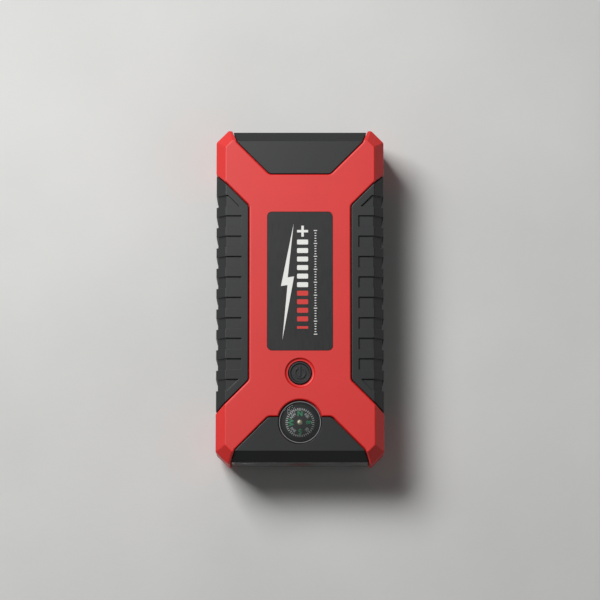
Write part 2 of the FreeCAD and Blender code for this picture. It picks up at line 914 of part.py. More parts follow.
keep(soft_trim(1, True, "rear_trim_upper"))
keep(soft_trim(1, False, "rear_trim_lower"))
keep(soft_trim(-1, False, "front_trim_lower"))
front_upper = soft_trim(-1, True, "front_trim_blank")
keep(cut("front_trim_upper", front_upper, compass_well(S.ring_radius + 0.15, mid_z, top_z + SPILL)))

# ---------------------------------------------------------------------------------------------
# Label plates, feet, screws
# ---------------------------------------------------------------------------------------------
label_bed = top_z - S.label_sink
rating_bed = base_z + S.label_sink
keep(rounded_plate(
    "label_plate", S.label_width, S.label_length, S.label_corner, S.label_y,
    label_bed, label_bed + S.label_thick,
))
keep(rounded_plate(
    "rating_plate", S.label_width, S.rating_length, S.label_corner, 0.0,
    rating_bed - S.label_thick, rating_bed,
))


def foot(x, y, number):
    """A rubber foot with a softened rim, standing on z = 0."""
    rim = S.foot_radius
    soft = S.foot_soft
    points = [(0.0, 0.0), (rim - soft, 0.0), (rim, soft), (rim, S.foot_thick), (0.0, S.foot_thick)]
    return place(spin_body(f"foot_{number}", points), x, y)


def screw(label, radius, length, head_radius, head_height, x, y, z, head_down=True):
    """A pan-head screw with a cross recess; z is where the head bears."""
    made = new_body(label)
    points = [
        (0.0, -head_height), (head_radius * 0.8, -head_height), (head_radius, -head_height * 0.6),
        (head_radius, 0.0), (radius, 0.0), (radius, length - radius), (radius * 0.35, length), (0.0, length),
    ]
    revolve(made, points)
    bar = head_radius * 1.1
    thin = head_radius * 0.28
    cross = [centred(0.0, 0.0, bar, thin), centred(0.0, 0.0, thin, bar)]
    for outline in cross:
        pocket(made, [outline], "XY_Plane", -head_height - 0.1, -head_height * 0.45)
    if not head_down:
        made.Placement.Rotation = FreeCAD.Rotation(V(1, 0, 0), 180)
    return place(made, x, y, z)


def group(label, things):
    """Identical separate solids under one label."""
    made = doc.addObject("Part::Compound", unique("group"))
    made.Label = label
    made.Links = things
    return made


keep(group("feet", [foot(x, y, i) for i, (x, y) in enumerate(FOOT_PLACES)]))
case_screw = (S.screw_radius, S.screw_length, S.screw_head_radius, S.screw_head_height)
keep(group("case_screws", [
    screw(f"case_screw_{i}", *case_screw, x, y, S.screw_seat) for i, (x, y) in enumerate(BOSS_PLACES)
]))

# ---------------------------------------------------------------------------------------------
# Power button over its switch
# ---------------------------------------------------------------------------------------------
button_top = top_z - S.button_sink
flange_top = top_z - S.wall - S.fit_gap
flange_low = flange_top - S.button_flange_thick
plunger_top = switch_board_high + S.switch_height + S.plunger_height


def power_button():
    """The cap with a raised rim, a raised ring-and-bar sign, a flange below and a stem on the switch."""
    rim = S.button_radius
    band = S.button_rim
    points = [
        (0.0, flange_low), (rim + S.button_flange, flange_low), (rim + S.button_flange, flange_top),
        (rim, flange_top), (rim, button_top - 0.3), (rim - 0.3, button_top), (rim - band, button_top),
        (rim - band - 0.4, button_top - 0.5), (0.0, button_top - 0.5),
    ]
    cap = spin_body("button_cap", points)
    low = button_top - 0.6
    high = button_top - S.sign_sink
    half = S.sign_stroke / 2
    ring = spin_body("sign_ring", rectangle(S.sign_radius - half, low, S.sign_radius + half, high))
    gap = slab("sign_gap", -S.sign_gap, 0.0, low - OVERRUN, S.sign_gap, S.button_radius, high + OVERRUN)
    bar = slab("sign_bar", -half, S.sign_bar_low, low, half, S.sign_bar_high, high)
    stem = rod("button_stem", 0.0, 0.0, plunger_top, S.plunger_radius, flange_low + 0.2 - plunger_top)
    return place(join("power_button", cap, cut("sign", ring, gap), bar, stem), 0.0, S.button_y)


keep(power_button())
switch_half = S.switch_size / 2
switch_block = slab(
    "switch_block", -switch_half, S.button_y - switch_half, switch_board_high,
    switch_half, S.button_y + switch_half, switch_board_high + S.switch_height,
)
well_floor = switch_board_high + 1.0
plunger_low = well_floor + S.button_travel + 0.3
plunger_well = rod(
    "plunger_well", 0.0, S.button_y, well_floor, S.plunger_radius + S.seat_play, S.switch_height + OVERRUN,
)
keep(cut("switch_housing", switch_block, plunger_well))
keep(rod("switch_plunger", 0.0, S.button_y, plunger_low, S.plunger_radius, plunger_top - plunger_low))
switch_plate = prism(
    "switch_plate", [centred(0.0, S.button_y, S.switch_board_width, S.switch_board_length)],
    switch_board_low, switch_board_high,
)
small_bore = S.small_screw_radius + S.screw_play
switch_bores = rods(
    "switch_bores", SWITCH_POSTS, switch_board_low - OVERRUN, switch_board_high + OVERRUN, small_bore,
)
keep(cut("switch_board", switch_plate, switch_bores))
small_screw = (S.small_screw_radius, S.small_screw_length, S.small_head_radius, S.small_head_height)
keep(group("switch_screws", [
    screw(f"switch_screw_{i}", *small_screw, x, y, switch_board_low) for i, (x, y) in enumerate(SWITCH_POSTS)
]))

# ---------------------------------------------------------------------------------------------
# Compass: a liquid-filled cup with a card on a needle point, under a domed lens
# ---------------------------------------------------------------------------------------------
cup_top = top_z - S.dome_rise - S.dome_thick / 2
cup_low = cup_top - S.capsule_height + S.dome_rise
cup_inner = S.capsule_radius - S.capsule_wall
card_z = cup_top - 1.3
cup_points = [
    (0.0, cup_low), (S.capsule_radius, cup_low), (S.capsule_radius, cup_top), (cup_inner, cup_top),
    (cup_inner, cup_low + S.capsule_wall), (0.0, cup_low + S.capsule_wall),
]
keep(place(spin_body("compass_housing", cup_points), 0.0, compass_y))
pivot_points = [
    (0.0, cup_low + S.capsule_wall), (S.jewel_radius, cup_low + S.capsule_wall),
    (S.jewel_radius, cup_low + S.capsule_wall * 2), (S.pivot_radius, cup_low + S.capsule_wall * 2 + 0.5),
    (S.pivot_radius, card_z - 1.0), (0.05, card_z + 0.1), (0.0, card_z + 0.1),
]
keep(place(spin_body("compass_pivot", pivot_points), 0.0, compass_y))
card_low = card_z - 0.1
card_high = card_low + S.card_thick
hub_high = card_high + 0.35
card_points = [
    (0.0, card_z + 0.2), (S.pivot_radius + 0.15, card_z - 0.6), (S.jewel_radius, card_z - 0.6),
    (S.jewel_radius, card_low), (S.card_radius, card_low), (S.card_radius, card_high),
    (S.jewel_radius * 0.9, card_high), (S.jewel_radius * 0.5, hub_high), (0.0, hub_high),
]
keep(place(spin_body("compass_card", card_points), 0.0, compass_y))


def domed_disc(label, rim, low, edge, rise):
    """A disc about Z with a flat back and a front domed as part of a sphere."""
    made = new_body(label)
    sketch = sketch_on(made, "XZ_Plane")
    sphere = (rim * rim + rise * rise) / (rise * 2)
    apex = low + edge + rise
    centre = V(0, (apex - sphere).value, 0)
    start = math.atan2((low + edge - apex + sphere).value, rim.value)
    circle = Part.Circle(centre, V(0, 0, 1), sphere.value)
    arc = sketch.addGeometry(Part.ArcOfCircle(circle, start, math.pi / 2))
    corners = [(0.0, apex), (0.0, low), (rim, low), (rim, low + edge)]
    first = sketch.GeometryCount
    for (x1, y1), (x2, y2) in zip(corners, corners[1:]):
        a = V(number_of(x1), number_of(y1), 0)
        b = V(number_of(x2), number_of(y2), 0)
        sketch.addGeometry(Part.LineSegment(a, b))
    sketch.addConstraint(Sketcher.Constraint("Coincident", arc, 2, first, 1))
    sketch.addConstraint(Sketcher.Constraint("Coincident", first, 2, first + 1, 1))
    sketch.addConstraint(Sketcher.Constraint("Coincident", first + 1, 2, first + 2, 1))
    sketch.addConstraint(Sketcher.Constraint("Coincident", first + 2, 2, arc, 1))
    for i, (x, y) in enumerate(corners[:3]):
        pin_down(sketch, "DistanceX", first + i, 1, x)
        pin_down(sketch, "DistanceY", first + i, 1, y)
    pin_down(sketch, "DistanceX", arc, 1, rim)
    pin_down(sketch, "DistanceY", arc, 1, low + edge)
    pin_down(sketch, "DistanceX", arc, 3, 0.0)
    feature = made.newObject("PartDesign::Revolution", unique("turned"))
    feature.Profile = sketch
    feature.ReferenceAxis = (sketch, ["V_Axis"])
    feature.Angle = 360.0
    return made


lens_rim = S.capsule_radius - S.fit_gap
lens = domed_disc("compass_lens", lens_rim, cup_top, S.dome_thick / 2, S.dome_rise - 0.1)
keep(place(lens, 0.0, compass_y))
ring_low = recess_top + S.fit_gap
ring_high = top_z - S.ring_sink
bead = S.ring_soft
ring_points = [
    (S.capsule_radius, ring_low), (S.ring_radius, ring_low), (S.ring_radius, ring_high - bead),
    (S.ring_radius - bead, ring_high), (S.capsule_radius + bead, ring_high),
    (S.capsule_radius, ring_high - bead),
]
keep(place(spin_body("compass_ring", ring_points), 0.0, compass_y))

# ---------------------------------------------------------------------------------------------
# Lamp end: a clear window with two domes, a red warning lens, bowls, lamps and their board
# ---------------------------------------------------------------------------------------------
window_back = -seat_y - S.fit_gap
window_face = window_back - S.window_thick
sides = (-1, 1)
NAMES = {-1: "left", 1: "right"}


def facing_front(thing, x, y, z):
    """Turns a piece drawn about +Z so that it faces -Y, and moves it to its place."""
    thing.Placement.Rotation = FreeCAD.Rotation(V(1, 0, 0), 90)
    return place(thing, x, y, z)


def panel_half(end):
    """Half width of an end plate: it fills the end trim's mouth where the plate is seated."""
    inner_y = half_length - (S.rear_trim_reach if end > 0 else S.front_trim_reach)
    inner_half = S.rear_trim_inner_half if end > 0 else S.front_trim_inner_half
    bend_y = bevel_y - S.trim_bend
    flare = S.trim_flare * ((seat_y - bend_y) / (half_length - bend_y))
    return inner_half + (bend_y - inner_y) + flare + S.reveal_gap - S.panel_margin


def wall_plate(label, half_x, z_low, z_high, y_low, y_high, corner):
    """An upright plate across an end of the case, with rounded corners."""
    made = new_body(label)
    flat = pad(made, [rectangle(-half_x, z_low, half_x, z_high)], "XZ_Plane", -y_high, -y_low)
    doc.recompute()
    across = edges_where(flat.Shape, lambda edge: runs_along(edge, V(0, 1, 0)))
    fillet(made, flat, across, corner)
    return made


def lamp_window():
    """The clear plate, two domes over the bowls and a hole for the warning lens."""
    plate = wall_plate(
        "window_plate", panel_half(-1), panel_low, panel_high, window_face, window_back, S.panel_corner,
    )
    domes = [
        facing_front(domed_disc(f"window_dome_{NAMES[s]}", S.lamp_radius, -BITE, BITE, S.lamp_dome_rise),
                     s * S.lamp_x, window_face, mid_z)
        for s in sides
    ]
    hole_radius = S.warning_radius + S.seat_play
    hole = tube(0.0, mid_z, hole_radius, window_face - OVERRUN, window_back + OVERRUN, "window_hole")
    return cut("lamp_window", join("window_form", plate, *domes), hole)


keep(lamp_window())


def warning_lens():
    """The red lens: a domed plug through the window with a flange behind it."""
    plug = S.window_thick + S.fit_gap
    rim = S.flange_rim
    dome = domed_disc("warning_dome", S.warning_radius, 0.0, plug, S.lamp_dome_rise - S.fit_gap)
    flange = rod("warning_flange", 0.0, 0.0, -rim, S.warning_radius + rim, rim)
    return facing_front(join("warning_lens", dome, flange), 0.0, window_back + S.fit_gap, mid_z)


keep(warning_lens())
carrier_face = window_back + S.fit_gap
carrier_back = carrier_face + S.window_thick
lamp_board_face = carrier_face + S.carrier_depth
lamp_board_back = lamp_board_face + S.board_thick
LAMP_POSTS = [(sx * S.lamp_post_x, mid_z + sz * S.lamp_post_z) for sx in sides for sz in sides]


def lamp_carrier():
    """A plate that fills the opening, with three bores and four posts for the lamp board."""
    plate = wall_plate(
        "carrier_plate", opening_x - S.seat_play, opening_low + S.seat_play, opening_high - S.seat_play,
        carrier_face, carrier_back, 0.5,
    )
    posts = [
        tube(x, z, S.post_radius, carrier_back - BITE, lamp_board_face, "carrier_post") for x, z in LAMP_POSTS
    ]
    through = (carrier_face - OVERRUN, carrier_back + OVERRUN)
    bores = [tube(s * S.lamp_x, mid_z, S.bowl_radius + S.fit_gap, *through) for s in sides]
    centre = tube(0.0, mid_z, S.warning_radius + S.flange_rim + S.fit_gap, *through)
    sunk = (lamp_board_face - S.pilot_depth, lamp_board_face + OVERRUN)
    pilots = [tube(x, z, S.small_screw_radius, *sunk) for x, z in LAMP_POSTS]
    return cut("lamp_carrier", join("carrier_form", plate, *posts), *bores, centre, *pilots)


keep(lamp_carrier())


def reflector(label, x):
    """A thin bright bowl that narrows to a hole round the lamp."""
    skin = S.reflector_wall
    deep = S.reflector_depth
    rim = S.bowl_radius
    points = [
        (0.0, rim - skin), (0.0, rim), (S.window_thick, rim), (deep * 0.7, rim * 0.72), (deep, rim * 0.42),
        (deep, rim * 0.42 - skin), (deep * 0.7 - skin * 0.6, rim * 0.72 - skin), (S.window_thick, rim - skin),
    ]
    return place(spin_body(label, points, "along"), x, carrier_face + 0.02, mid_z)


def lamp(label, x):
    """A square base on the board with a small clear dome."""
    size = S.lamp_dome_radius * 2.4
    face = lamp_board_face - S.lamp_base_thick
    base = bar_along(label + "_base", x, mid_z, size, size, face, lamp_board_face)
    dome = domed_disc(label + "_dome", S.lamp_dome_radius, 0.0, 0.4, S.lamp_dome_radius * 0.8)
    return join(label, base, facing_front(dome, x, face, mid_z))


for s in sides:
    keep(reflector(f"reflector_{NAMES[s]}", s * S.lamp_x))
    keep(lamp(f"lamp_{NAMES[s]}", s * S.lamp_x))
keep(lamp("warning_lamp", 0.0))
lamp_plate = wall_plate(
    "lamp_plate", opening_x - 1.0, opening_low + 0.4, opening_high - 0.6,
    lamp_board_face, lamp_board_back, 1.0,
)
board_bores = [
    tube(x, z, small_bore, lamp_board_face - OVERRUN, lamp_board_back + OVERRUN) for x, z in LAMP_POSTS
]
keep(cut("lamp_board", lamp_plate, *board_bores))


def lamp_screws():
    """Four small screws that hold the lamp board to its carrier."""
    made = []
    for i, (x, z) in enumerate(LAMP_POSTS):
        one = screw(f"lamp_screw_{i}", *small_screw, x, lamp_board_back, z)
        one.Placement.Rotation = FreeCAD.Rotation(V(1, 0, 0), 90)
        made.append(one)
    return group("lamp_screws", made)


keep(lamp_screws())

# ---------------------------------------------------------------------------------------------
# Port end: one panel with a lidded bay for the sockets and a capped starting socket
# ---------------------------------------------------------------------------------------------
panel_back = seat_y + S.fit_gap
panel_face = panel_back + S.window_thick
block_back = panel_face - S.bay_depth - S.bay_wall
bay_floor = panel_face - S.bay_depth
bay_right_x = opening_x - S.bay_side
bay_low = opening_low + S.bay_rim
bay_high = opening_high - S.bay_rim
hinge_y = panel_face - S.knuckle_radius
hinge_z = bay_low + S.cover_gap + S.knuckle_radius
jump_half = S.jump_width / 2
cap_seat = panel_face - S.cap_recess
cap_left = S.jump_x - jump_half - S.cap_overlap - S.cap_barrel_radius
cap_axis_x = cap_left + S.cap_barrel_radius / 2
cap_axis_y = panel_face - S.cap_barrel_radius + S.cap_barrel_proud
cap_right = S.jump_x + jump_half + S.cap_overlap
cap_low = S.jump_z - S.cap_height / 2
cap_high = S.jump_z + S.cap_height / 2
usb_columns = {-1: S.usb_left_x, 1: S.usb_right_x}
usb_rows = [S.port_z + s * (S.usb_port_height + S.usb_row_gap) / 2 for s in sides]
jack_rows = {"lower": S.port_z - S.jack_pitch / 2, "upper": S.port_z + S.jack_pitch / 2}
connector_face = bay_floor + S.connector_proud
knuckle_left = S.bay_left_x + S.lug_length + S.cover_gap
knuckle_right = bay_right_x - S.lug_length - S.cover_gap
pin_length = bay_right_x - S.bay_left_x + S.pin_bite * 2
hinge_pin = (S.bay_left_x - S.pin_bite, hinge_y, hinge_z, S.pin_radius, pin_length)


def hinge_lugs():
    """Two rounded lugs in the lower corners of the bay, bored for the cover's pin."""
    length = S.lug_length + BITE
    low = bay_low - BITE
    parts = []
    for x in (S.bay_left_x - BITE, bay_right_x - S.lug_length):
        parts.append(rod("lug_round", x, hinge_y, hinge_z, S.knuckle_radius, length, direction=(1, 0, 0)))
        parts.append(slab("lug_foot", x, hinge_y - S.knuckle_radius, low, x + length, panel_face, hinge_z))
        parts.append(slab("lug_back", x, bay_floor - BITE, low, x + length, hinge_y, hinge_z))
    return parts


def port_panel():
    """A flange on the case's shelf, a block in its opening, and everything sunk into them."""
    flange = wall_plate(
        "panel_flange", panel_half(1), panel_low, panel_high, panel_back, panel_face, S.panel_corner,
    )
    block = wall_plate(
        "panel_block", opening_x - S.seat_play, opening_low + S.seat_play, opening_high - S.seat_play,
        block_back, panel_back + BITE, 0.5,
    )
    rear = block_back - OVERRUN
    front = panel_face + OVERRUN
    play = S.cap_play
    bay = slab("bay", S.bay_left_x, bay_floor, bay_low, bay_right_x, front, bay_high)
    usb_holes = [
        bar_along(f"usb_hole_{NAMES[s]}", x, S.port_z, S.usb_width, S.usb_height, rear, panel_face, S.fit_gap)
        for s, x in usb_columns.items()
    ]
    jack_holes = [
        bar_along(f"jack_hole_{name}", S.jack_x, z, S.jack_width, S.jack_height, rear, panel_face, S.fit_gap)
        for name, z in jack_rows.items()
    ]
    cap_bed = slab("cap_bed", cap_left, cap_seat, cap_low - play, cap_right + play, front, cap_high + play)
    barrel_bed = slab(
        "barrel_bed", cap_left - 0.9, panel_back + 0.1, cap_low - play,
        cap_axis_x + S.cap_barrel_radius + 0.4, front, cap_high + play,
    )
    jump_hole = bar_along(
        "jump_hole", S.jump_x, S.jump_z, S.jump_width, S.jump_height, rear, front, S.fit_gap,
    )
    level_slot = bar_along("level_slot", S.jump_x, S.level_z, S.level_width, S.level_height, rear, front)
    holes = [bay, *usb_holes, *jack_holes, cap_bed, barrel_bed, jump_hole, level_slot]
    hollow = cut("panel_hollow", join("panel_form", flange, block), *holes)
    pin_way = rod("pin_way", *hinge_pin, direction=(1, 0, 0))
    return cut("port_panel", join("panel_lugs", hollow, *hinge_lugs()), pin_way)


keep(port_panel())


def usb_shell(label, x):
    """A folded metal sleeve round two stacked ports, with a dividing wall between them."""
    back = connector_face - S.usb_length
    sleeve = bar_along(label + "_sleeve", x, S.port_z, S.usb_width, S.usb_height, back, connector_face)
    inner = S.usb_width - S.usb_skin * 2
    depths = (back + S.usb_skin, connector_face + OVERRUN)
    mouths = [bar_along(label + "_mouth", x, z, inner, S.usb_port_height, *depths) for z in usb_rows]
    return cut(label, sleeve, *mouths)


def usb_insert(label, x):
    """The two contact tongues of one stacked connector on their backing block."""
    back = connector_face - S.usb_length + S.usb_skin + S.fit_gap
    root_y = connector_face - S.tongue_length
    inner = S.usb_width - S.usb_skin * 2
    half = inner / 2 - 0.75
    parts = []
    for z in usb_rows:
        low = z + 0.2
        parts.append(bar_along(label + "_block", x, z, inner, S.usb_port_height, back, root_y, -S.fit_gap))
        parts.append(slab(label + "_tongue", x - half, root_y - OVERRUN, low,
                          x + half, connector_face - 0.9, low + S.tongue_thick))
    return group(label, [join(label + "_low", *parts[:2]), join(label + "_high", *parts[2:])])


for s, x in usb_columns.items():
    keep(usb_shell(f"usb_shell_{NAMES[s]}", x))
    keep(usb_insert(f"usb_insert_{NAMES[s]}", x))


def dc_jack(label, z):
    """A square power jack with a round barrel hole."""
    back = connector_face - S.jack_length
    block = bar_along(label + "_block", S.jack_x, z, S.jack_width, S.jack_height, back, connector_face)
    bore = tube(S.jack_x, z, S.jack_bore, back + S.jack_floor, connector_face + OVERRUN)
    seat = tube(S.jack_x, z, S.jack_pin_radius, back - OVERRUN, back + S.jack_floor + OVERRUN)
    return cut(label, block, bore, seat)


def dc_pin(label, z):
    """The jack's centre pin, rounded at its tip."""
    back = connector_face - S.jack_length
    radius = S.jack_pin_radius
    tip = S.jack_length - 1.5
    points = [(0.0, 0.0), (0.0, radius), (tip - 0.5, radius), (tip, radius * 0.5), (tip, 0.0)]
    return place(spin_body(label, points, "along"), S.jack_x, back, z)


for name, z in jack_rows.items():
    keep(dc_jack(f"dc_jack_{name}", z))
    keep(dc_pin(f"dc_pin_{name}", z))

# The high-current socket and its cap
mouth_back = cap_seat - S.jump_mouth_depth
contact_face = mouth_back + S.contact_proud
CONTACTS = {"positive": S.jump_x + S.jump_pitch / 2, "negative": S.jump_x - S.jump_pitch / 2}


def keyed_block(label, skin, y_low, y_high):
    """A block along Y inside the socket by a skin, with its two lower edges cut so a plug fits one way."""
    half_x = jump_half - skin
    half_z = S.jump_height / 2 - skin
    cut_x = half_x - S.jump_key
    cut_z = S.jump_key - half_z
    outline = [
        (-cut_x, -half_z), (cut_x, -half_z), (half_x, cut_z),
        (half_x, half_z), (-half_x, half_z), (-half_x, cut_z),
    ]
    points = [(S.jump_x + x, S.jump_z + z) for x, z in outline]
    return prism(label, [points], -y_high, -y_low, "XZ_Plane")


def jump_socket():
    """A square-shouldered housing with a keyed mouth and a collar behind the panel."""
    size = (S.jump_x, S.jump_z, S.jump_width, S.jump_height)
    back = cap_seat - S.jump_depth
    collar_high = block_back - S.fit_gap
    collar_low = collar_high - S.jump_collar_thick
    body = bar_along("socket_body", *size, back, cap_seat)
    collar = bar_along("socket_collar", *size, collar_low, collar_high, S.jump_collar)
    mouth = keyed_block("socket_mouth", S.jump_skin, mouth_back, cap_seat + OVERRUN)
    ways = [
        tube(x, S.jump_z, S.contact_radius, back - OVERRUN, mouth_back + OVERRUN, "contact_way")
        for x in CONTACTS.values()
    ]
    return cut("jump_socket", join("socket_form", body, collar), mouth, *ways)


def jump_contact(label, x):
    """A round contact with a bored front and a solder cup at the back."""
    back = contact_face - S.contact_length
    rod_body = tube(x, S.jump_z, S.contact_radius, back, contact_face, label + "_rod")
    front = tube(x, S.jump_z, S.contact_bore, contact_face - S.contact_bore_depth, contact_face + OVERRUN)
    cup = tube(x, S.jump_z, S.lead_radius, back - OVERRUN, back + S.lead_cup)
    return cut(label, rod_body, front, cup)


keep(jump_socket())
for name, x in CONTACTS.items():
    keep(jump_contact(f"jump_contact_{name}", x))

barrel_low = cap_low + S.cap_lug + 0.2
barrel_high = cap_high - S.cap_lug - 0.2


def socket_cap():
    """A rubber flap with a shallow plug on its back and a barrel down its hinged edge."""
    plate_low = cap_seat + S.fit_gap
    plate_high = plate_low + S.cap_thick
    flap = new_body("cap_flap")
    outline = rectangle(cap_axis_x, cap_low, cap_right, cap_high)
    face = pad(flap, [outline], "XZ_Plane", -plate_high, -plate_low)
    doc.recompute()
    ends = edges_where(
        face.Shape, lambda edge: runs_along(edge, V(0, 1, 0)) and edge.BoundBox.XMin > cap_axis_x.value + 1,
    )
    fillet(flap, face, ends, S.cap_corner)
    notches = [
        slab("cap_notch", cap_axis_x - OVERRUN, plate_low - OVERRUN, low,
             cap_axis_x + S.cap_barrel_radius + 0.35, plate_high + OVERRUN, high)
        for low, high in ((cap_low - OVERRUN, barrel_low), (barrel_high, cap_high + OVERRUN))
    ]
    skin = S.jump_skin + S.cap_plug_play
    plug = keyed_block("cap_plug", skin, cap_seat - S.cap_plug_depth, plate_low + BITE)
    barrel_length = barrel_high - barrel_low
    barrel = rod("cap_barrel", cap_axis_x, cap_axis_y, barrel_low, S.cap_barrel_radius, barrel_length)
    tab = slab("cap_tab", cap_right - 0.2, plate_low + 0.1, S.jump_z - 2.5, cap_right + 0.25, plate_high,
               S.jump_z + 2.5)
    way = rod("cap_way", cap_axis_x, cap_axis_y, cap_low, S.cap_pin_radius + S.seat_play, S.cap_height)
    solid = join("cap_form", cut("cap_plate", flap, *notches), plug, barrel, tab)
    return cut("socket_cap", solid, way)


def socket_cap_anchor():
    """Two lugs and the pin between them, held in the panel."""
    parts = [rod("anchor_pin", cap_axis_x, cap_axis_y, cap_low, S.cap_pin_radius, S.cap_height)]
    for low in (cap_low - 0.2, cap_high - S.cap_lug):
        parts.append(rod("anchor_round", cap_axis_x, cap_axis_y, low, S.cap_barrel_radius, S.cap_lug + 0.2))
        parts.append(slab("anchor_foot", cap_axis_x - S.cap_barrel_radius, panel_back + 0.15, low,
                          cap_axis_x + S.cap_barrel_radius, cap_axis_y, low + S.cap_lug + 0.2))
    return join("socket_cap_anchor", *parts)


keep(socket_cap())
keep(socket_cap_anchor())


def port_cover():
    """The bay's cover: a plate with a thumb lip at its top and a barrel along its foot."""
    gap = S.cover_gap
    plate_high = panel_face
    plate_low = panel_face - S.cover_thick
    left = S.bay_left_x + gap
    right = bay_right_x - gap
    plate = new_body("cover_plate")
    outline = rectangle(left, hinge_z, right, bay_high - gap)
    face = pad(plate, [outline], "XZ_Plane", -plate_high, -plate_low)
    doc.recompute()
    ends = edges_where(
        face.Shape, lambda edge: runs_along(edge, V(0, 1, 0)) and edge.BoundBox.ZMin > hinge_z.value + 1,
    )
    fillet(plate, face, ends, S.cap_corner)
    notch_high = hinge_z + S.knuckle_radius + gap
    notch_low = hinge_z - OVERRUN
    notches = [
        slab("cover_notch", low, plate_low - OVERRUN, notch_low, high, plate_high + OVERRUN, notch_high)
        for low, high in ((left - OVERRUN, knuckle_left), (knuckle_right, right + OVERRUN))
    ]
    barrel_length = knuckle_right - knuckle_left
    barrel = rod(
        "cover_barrel", knuckle_left, hinge_y, hinge_z, S.knuckle_radius, barrel_length, direction=(1, 0, 0),
    )
    middle = (S.bay_left_x + bay_right_x) / 2
    lip = slab("cover_lip", middle - S.lip_width / 2, plate_high - 0.5, bay_high - gap - 2.4,
               middle + S.lip_width / 2, plate_high + S.lip_proud, bay_high - gap - 0.8)
    way_radius = S.pin_radius + S.pin_play
    way = rod("cover_way", left, hinge_y, hinge_z, way_radius, right - left, direction=(1, 0, 0))
    return cut("port_cover", join("cover_form", cut("cover_flap", plate, *notches), barrel, lip), way)


keep(port_cover())
keep(rod("cover_hinge_pin", *hinge_pin, direction=(1, 0, 0)))

# Charge level strip above the socket
keep(bar_along(
    "level_window", S.jump_x, S.level_z, S.level_width, S.level_height,
    block_back, panel_face - S.seat_play, -S.fit_gap,
))


def level_board():
    """A narrow board behind the level strip with four small lamps on it."""
    low = block_back - S.fit_gap - 1.0
    board = slab("level_strip", S.jump_x - S.level_width / 2 - 2, low - S.board_thick, S.level_z - 1.4,
                 S.jump_x + S.level_width / 2 + 2, low, S.level_z + 1.6)
    pitch = S.level_width / 4
    lamps = [
        slab(f"level_lamp_{i}", S.jump_x + (i - 1.5) * pitch - 0.8, low - 0.1, S.level_z - 0.6,
             S.jump_x + (i - 1.5) * pitch + 0.8, low + 1.0, S.level_z + 0.6)
        for i in range(4)
    ]
    return join("level_board", board, *lamps)


keep(level_board())

# ---------------------------------------------------------------------------------------------
# Inside: the battery, the board and the leads
# ---------------------------------------------------------------------------------------------
battery_rear = S.battery_front_y + S.cell_length
cell_pitch = S.cell_thick + S.cell_gap
CELLS = range(int(S.cell_count.value))
stack_high = battery_low + cell_pitch * S.cell_count - S.cell_gap


def cell(number):
    """A flat pouch cell with rounded long edges and two tabs at its rear."""
    low = battery_low + cell_pitch * number
    made = new_body(f"cell_{number + 1}_pouch")
    outline = centred(0.0, S.battery_front_y + S.cell_length / 2, S.cell_width, S.cell_length)
    flat = pad(made, [outline], "XY_Plane", low, low + S.cell_thick)
    doc.recompute()
    long_edges = edges_where(flat.Shape, lambda edge: runs_along(edge, V(0, 1, 0)))
    fillet(made, flat, long_edges, S.cell_round)
    middle = low + S.cell_thick / 2
    tabs = [
        slab("tab", x - S.tab_width / 2, battery_rear - 0.5, middle - S.tab_thick / 2,
             x + S.tab_width / 2, battery_rear + S.tab_length, middle + S.tab_thick / 2)
        for x in (S.tab_outer_x, S.tab_inner_x)
    ]
    return join(f"cell_{number + 1}", made, *tabs)


for i in CELLS:
    keep(cell(i))


def strap(y):
    """A thin band round the whole stack."""
    skin = S.strap_thick
    half = S.cell_width / 2 + S.fit_gap
    low = battery_low - 0.03
    high = stack_high + S.fit_gap
    outer = slab("strap_outer", -half - skin, y, low - skin, half + skin, y + S.strap_width, high + skin)
    inner = slab("strap_inner", -half, y - OVERRUN, low, half, y + S.strap_width + OVERRUN, high)
    return cut("battery_strap", outer, inner)


keep(group("battery_straps", [strap(S.strap_front_y), strap(S.strap_rear_y)]))

board_left = S.board_post_left - S.board_margin
board_right = S.board_post_right + S.board_margin
board_front = S.board_post_front - S.board_margin
board_high = board_low + S.board_thick
board_plate = prism(
    "board_plate", [rectangle(board_left, board_front, board_right, block_back - 0.6)], board_low, board_high,
)
keep(cut("main_board", board_plate, rods(
    "board_bores", BOARD_POSTS, board_low - OVERRUN, board_high + OVERRUN, small_bore,
)))


def capacitor(number):
    """An upright can on the board with a rolled groove near its foot."""
    radius = S.can_radius
    points = [
        (0.0, 0.0), (radius, 0.0), (radius, 1.2), (radius - 0.3, 1.5), (radius, 1.8),
        (radius, S.can_height - 0.4), (radius - 0.4, S.can_height), (0.0, S.can_height),
    ]
    x = S.can_first_x + S.can_pitch * number
    return place(spin_body(f"capacitor_{number}", points), x, S.can_y, board_high + 0.02)


keep(group("capacitors", [capacitor(i) for i in range(3)]))


def route(label, points, radius):
    """A round lead along straight runs joined by arcs tangent to them."""
    corners = [V(*[number_of(c) for c in point]) for point in points]
    edges = []
    start = corners[0]
    for before, corner, after in zip(corners, corners[1:], corners[2:]):
        into = (corner - before).normalize()
        out = (after - corner).normalize()
        trim_by = min((corner - before).Length, (after - corner).Length) * 0.45
        turn_start = corner - into * trim_by
        turn_end = corner + out * trim_by
        bisector = (out - into).normalize()
        half_turn = into.getAngle(out) / 2
        bend = trim_by / math.tan(half_turn)
        middle = corner + bisector * (bend / math.cos(half_turn) - bend)
        edges.append(Part.LineSegment(start, turn_start).toShape())
        edges.append(Part.Arc(turn_start, middle, turn_end).toShape())
        start = turn_end
    edges.append(Part.LineSegment(start, corners[-1]).toShape())
    path = Part.Wire(edges)
    first = corners[1] - corners[0]
    profile = Part.Wire([Part.makeCircle(number_of(radius), corners[0], first)])
    made = doc.addObject("Part::Feature", unique("lead"))
    made.Label = label
    made.Shape = path.makePipeShell([profile], True, False)
    return made


